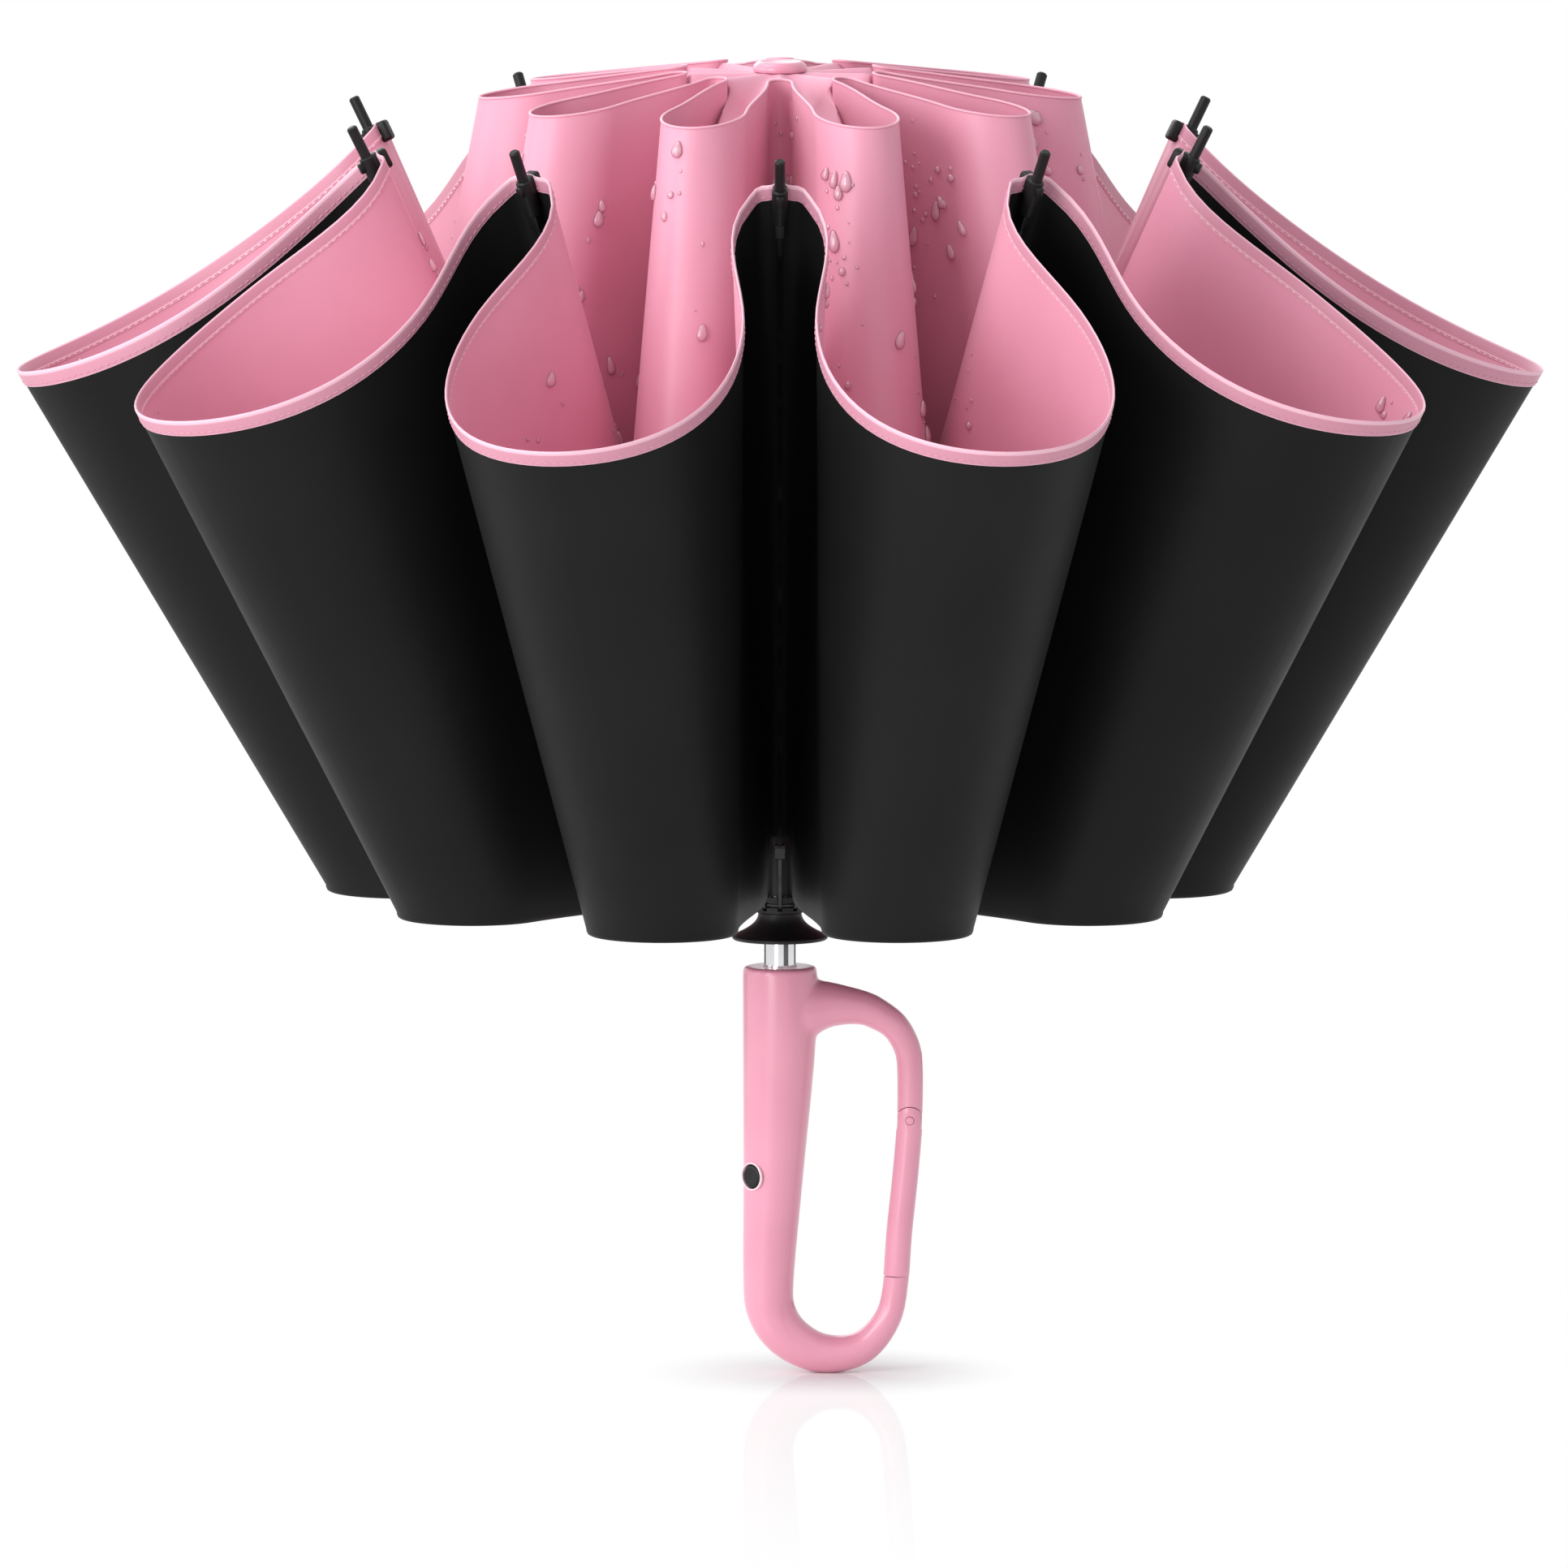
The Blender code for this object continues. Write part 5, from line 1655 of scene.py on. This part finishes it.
def add_floor():
    """A round of white floor: soft shade by the foot, with a grey matte whose darker tone adds
    painted shade to the real shadow, and a faint mirror image before it.
    """
    bpy.ops.mesh.primitive_circle_add(vertices=96, radius=FLOOR_RADIUS, fill_type="NGON")
    floor = bpy.context.object
    floor.name = "floor"
    material = bpy.data.materials.new("pale_floor")
    material.use_nodes = True
    tree = material.node_tree
    tree.nodes.clear()
    place = tree.nodes.new("ShaderNodeTexCoord")
    from_foot = tree.nodes.new("ShaderNodeVectorMath")
    from_foot.operation = "DISTANCE"
    from_foot.inputs[1].default_value = (SHADE_X, 0, 0)
    away = tree.nodes.new("ShaderNodeVectorMath")
    away.operation = "LENGTH"
    for target in (from_foot, away):
        tree.links.new(place.outputs["Object"], target.inputs[0])
    # The matte's grey darkens the floor by the foot: painted shade on top of the real shadow
    painted_shade_grey = (FOOT_SHADE_TONE, FOOT_SHADE_TONE, FOOT_SHADE_TONE, 1)
    matte = stage_node(tree, "ShaderNodeBsdfDiffuse", Color=painted_shade_grey)
    white = stage_node(tree, "ShaderNodeEmission", Color=(1, 1, 1, 1), Strength=1.0)
    gloss = stage_node(
        tree, "ShaderNodeBsdfGlossy", Color=(1, 1, 1, 1), Roughness=MIRROR_ROUGHNESS
    )
    mirror = tree.nodes.new("ShaderNodeMath")
    mirror.operation = "MULTIPLY"
    mirror.inputs[1].default_value = MIRROR_SHARE
    tree.links.new(fading(tree, away.outputs["Value"], 0.0, MIRROR_REACH), mirror.inputs[0])
    shade = tree.nodes.new("ShaderNodeMixShader")
    whole = tree.nodes.new("ShaderNodeMixShader")
    out = tree.nodes.new("ShaderNodeOutputMaterial")
    for source, target in (
        (fading(tree, from_foot.outputs["Value"], SHADE_NEAR, SHADE_FAR), shade.inputs[0]),
        (white.outputs[0], shade.inputs[1]),
        (matte.outputs[0], shade.inputs[2]),
        (mirror.outputs[0], whole.inputs[0]),
        (shade.outputs[0], whole.inputs[1]),
        (gloss.outputs[0], whole.inputs[2]),
        (whole.outputs[0], out.inputs["Surface"]),
    ):
        tree.links.new(source, target)
    floor.data.materials.append(material)


def add_lamp(name, place, aim, size, power):
    light = bpy.data.lights.new(name, "AREA")
    light.shape = "RECTANGLE"
    light.size, light.size_y = size
    light.energy = power
    lamp = bpy.data.objects.new(name, light)
    lamp.location = place
    lamp.rotation_euler = (Vector(aim) - Vector(place)).to_track_quat("-Z", "Y").to_euler()
    bpy.context.scene.collection.objects.link(lamp)


def add_camera():
    camera = bpy.data.cameras.new("camera")
    camera.sensor_width = SENSOR
    camera.lens = SENSOR * CAMERA_DISTANCE / PHOTO_WIDTH
    camera.clip_start = CLIP_NEAR
    camera.clip_end = CLIP_FAR
    holder = bpy.data.objects.new("camera", camera)
    back = Vector((0, -math.cos(CAMERA_RISE), math.sin(CAMERA_RISE)))
    holder.location = CAMERA_AIM + back * CAMERA_DISTANCE
    holder.rotation_euler = (-back).to_track_quat("-Z", "Y").to_euler()
    bpy.context.scene.collection.objects.link(holder)
    bpy.context.scene.camera = holder


def add_dark_card(name, place, size):
    """A black card beside the frame, which bright metal shows as a dark band."""
    bpy.ops.mesh.primitive_plane_add(size=1, location=place)
    card = bpy.context.object
    card.name = name
    card.scale = (size[0], size[1], 1)
    card.rotation_euler = (-Vector(place)).to_track_quat("Z", "Y").to_euler()
    seat(card)
    card.visible_camera = False
    material = bpy.data.materials.new(name)
    material.use_nodes = True
    shader = material.node_tree.nodes["Principled BSDF"]
    shader.inputs["Base Color"].default_value = (CARD_TONE, CARD_TONE, CARD_TONE, 1)
    shader.inputs["Roughness"].default_value = CARD_ROUGHNESS
    card.data.materials.append(material)


def add_studio():
    for lamp in LAMPS:
        add_lamp(*lamp)
    for card in DARK_CARDS:
        add_dark_card(*card)


bpy.context.scene.view_settings.view_transform = "Standard"
add_camera()
add_cloth()
add_crown_cloth()
add_tips()
add_cap()
add_tubes()
add_bell()
add_runner_neck()
add_grip()
add_gate()
add_button()
dress_nodes()
add_world()
add_floor()
add_studio()
deselect()
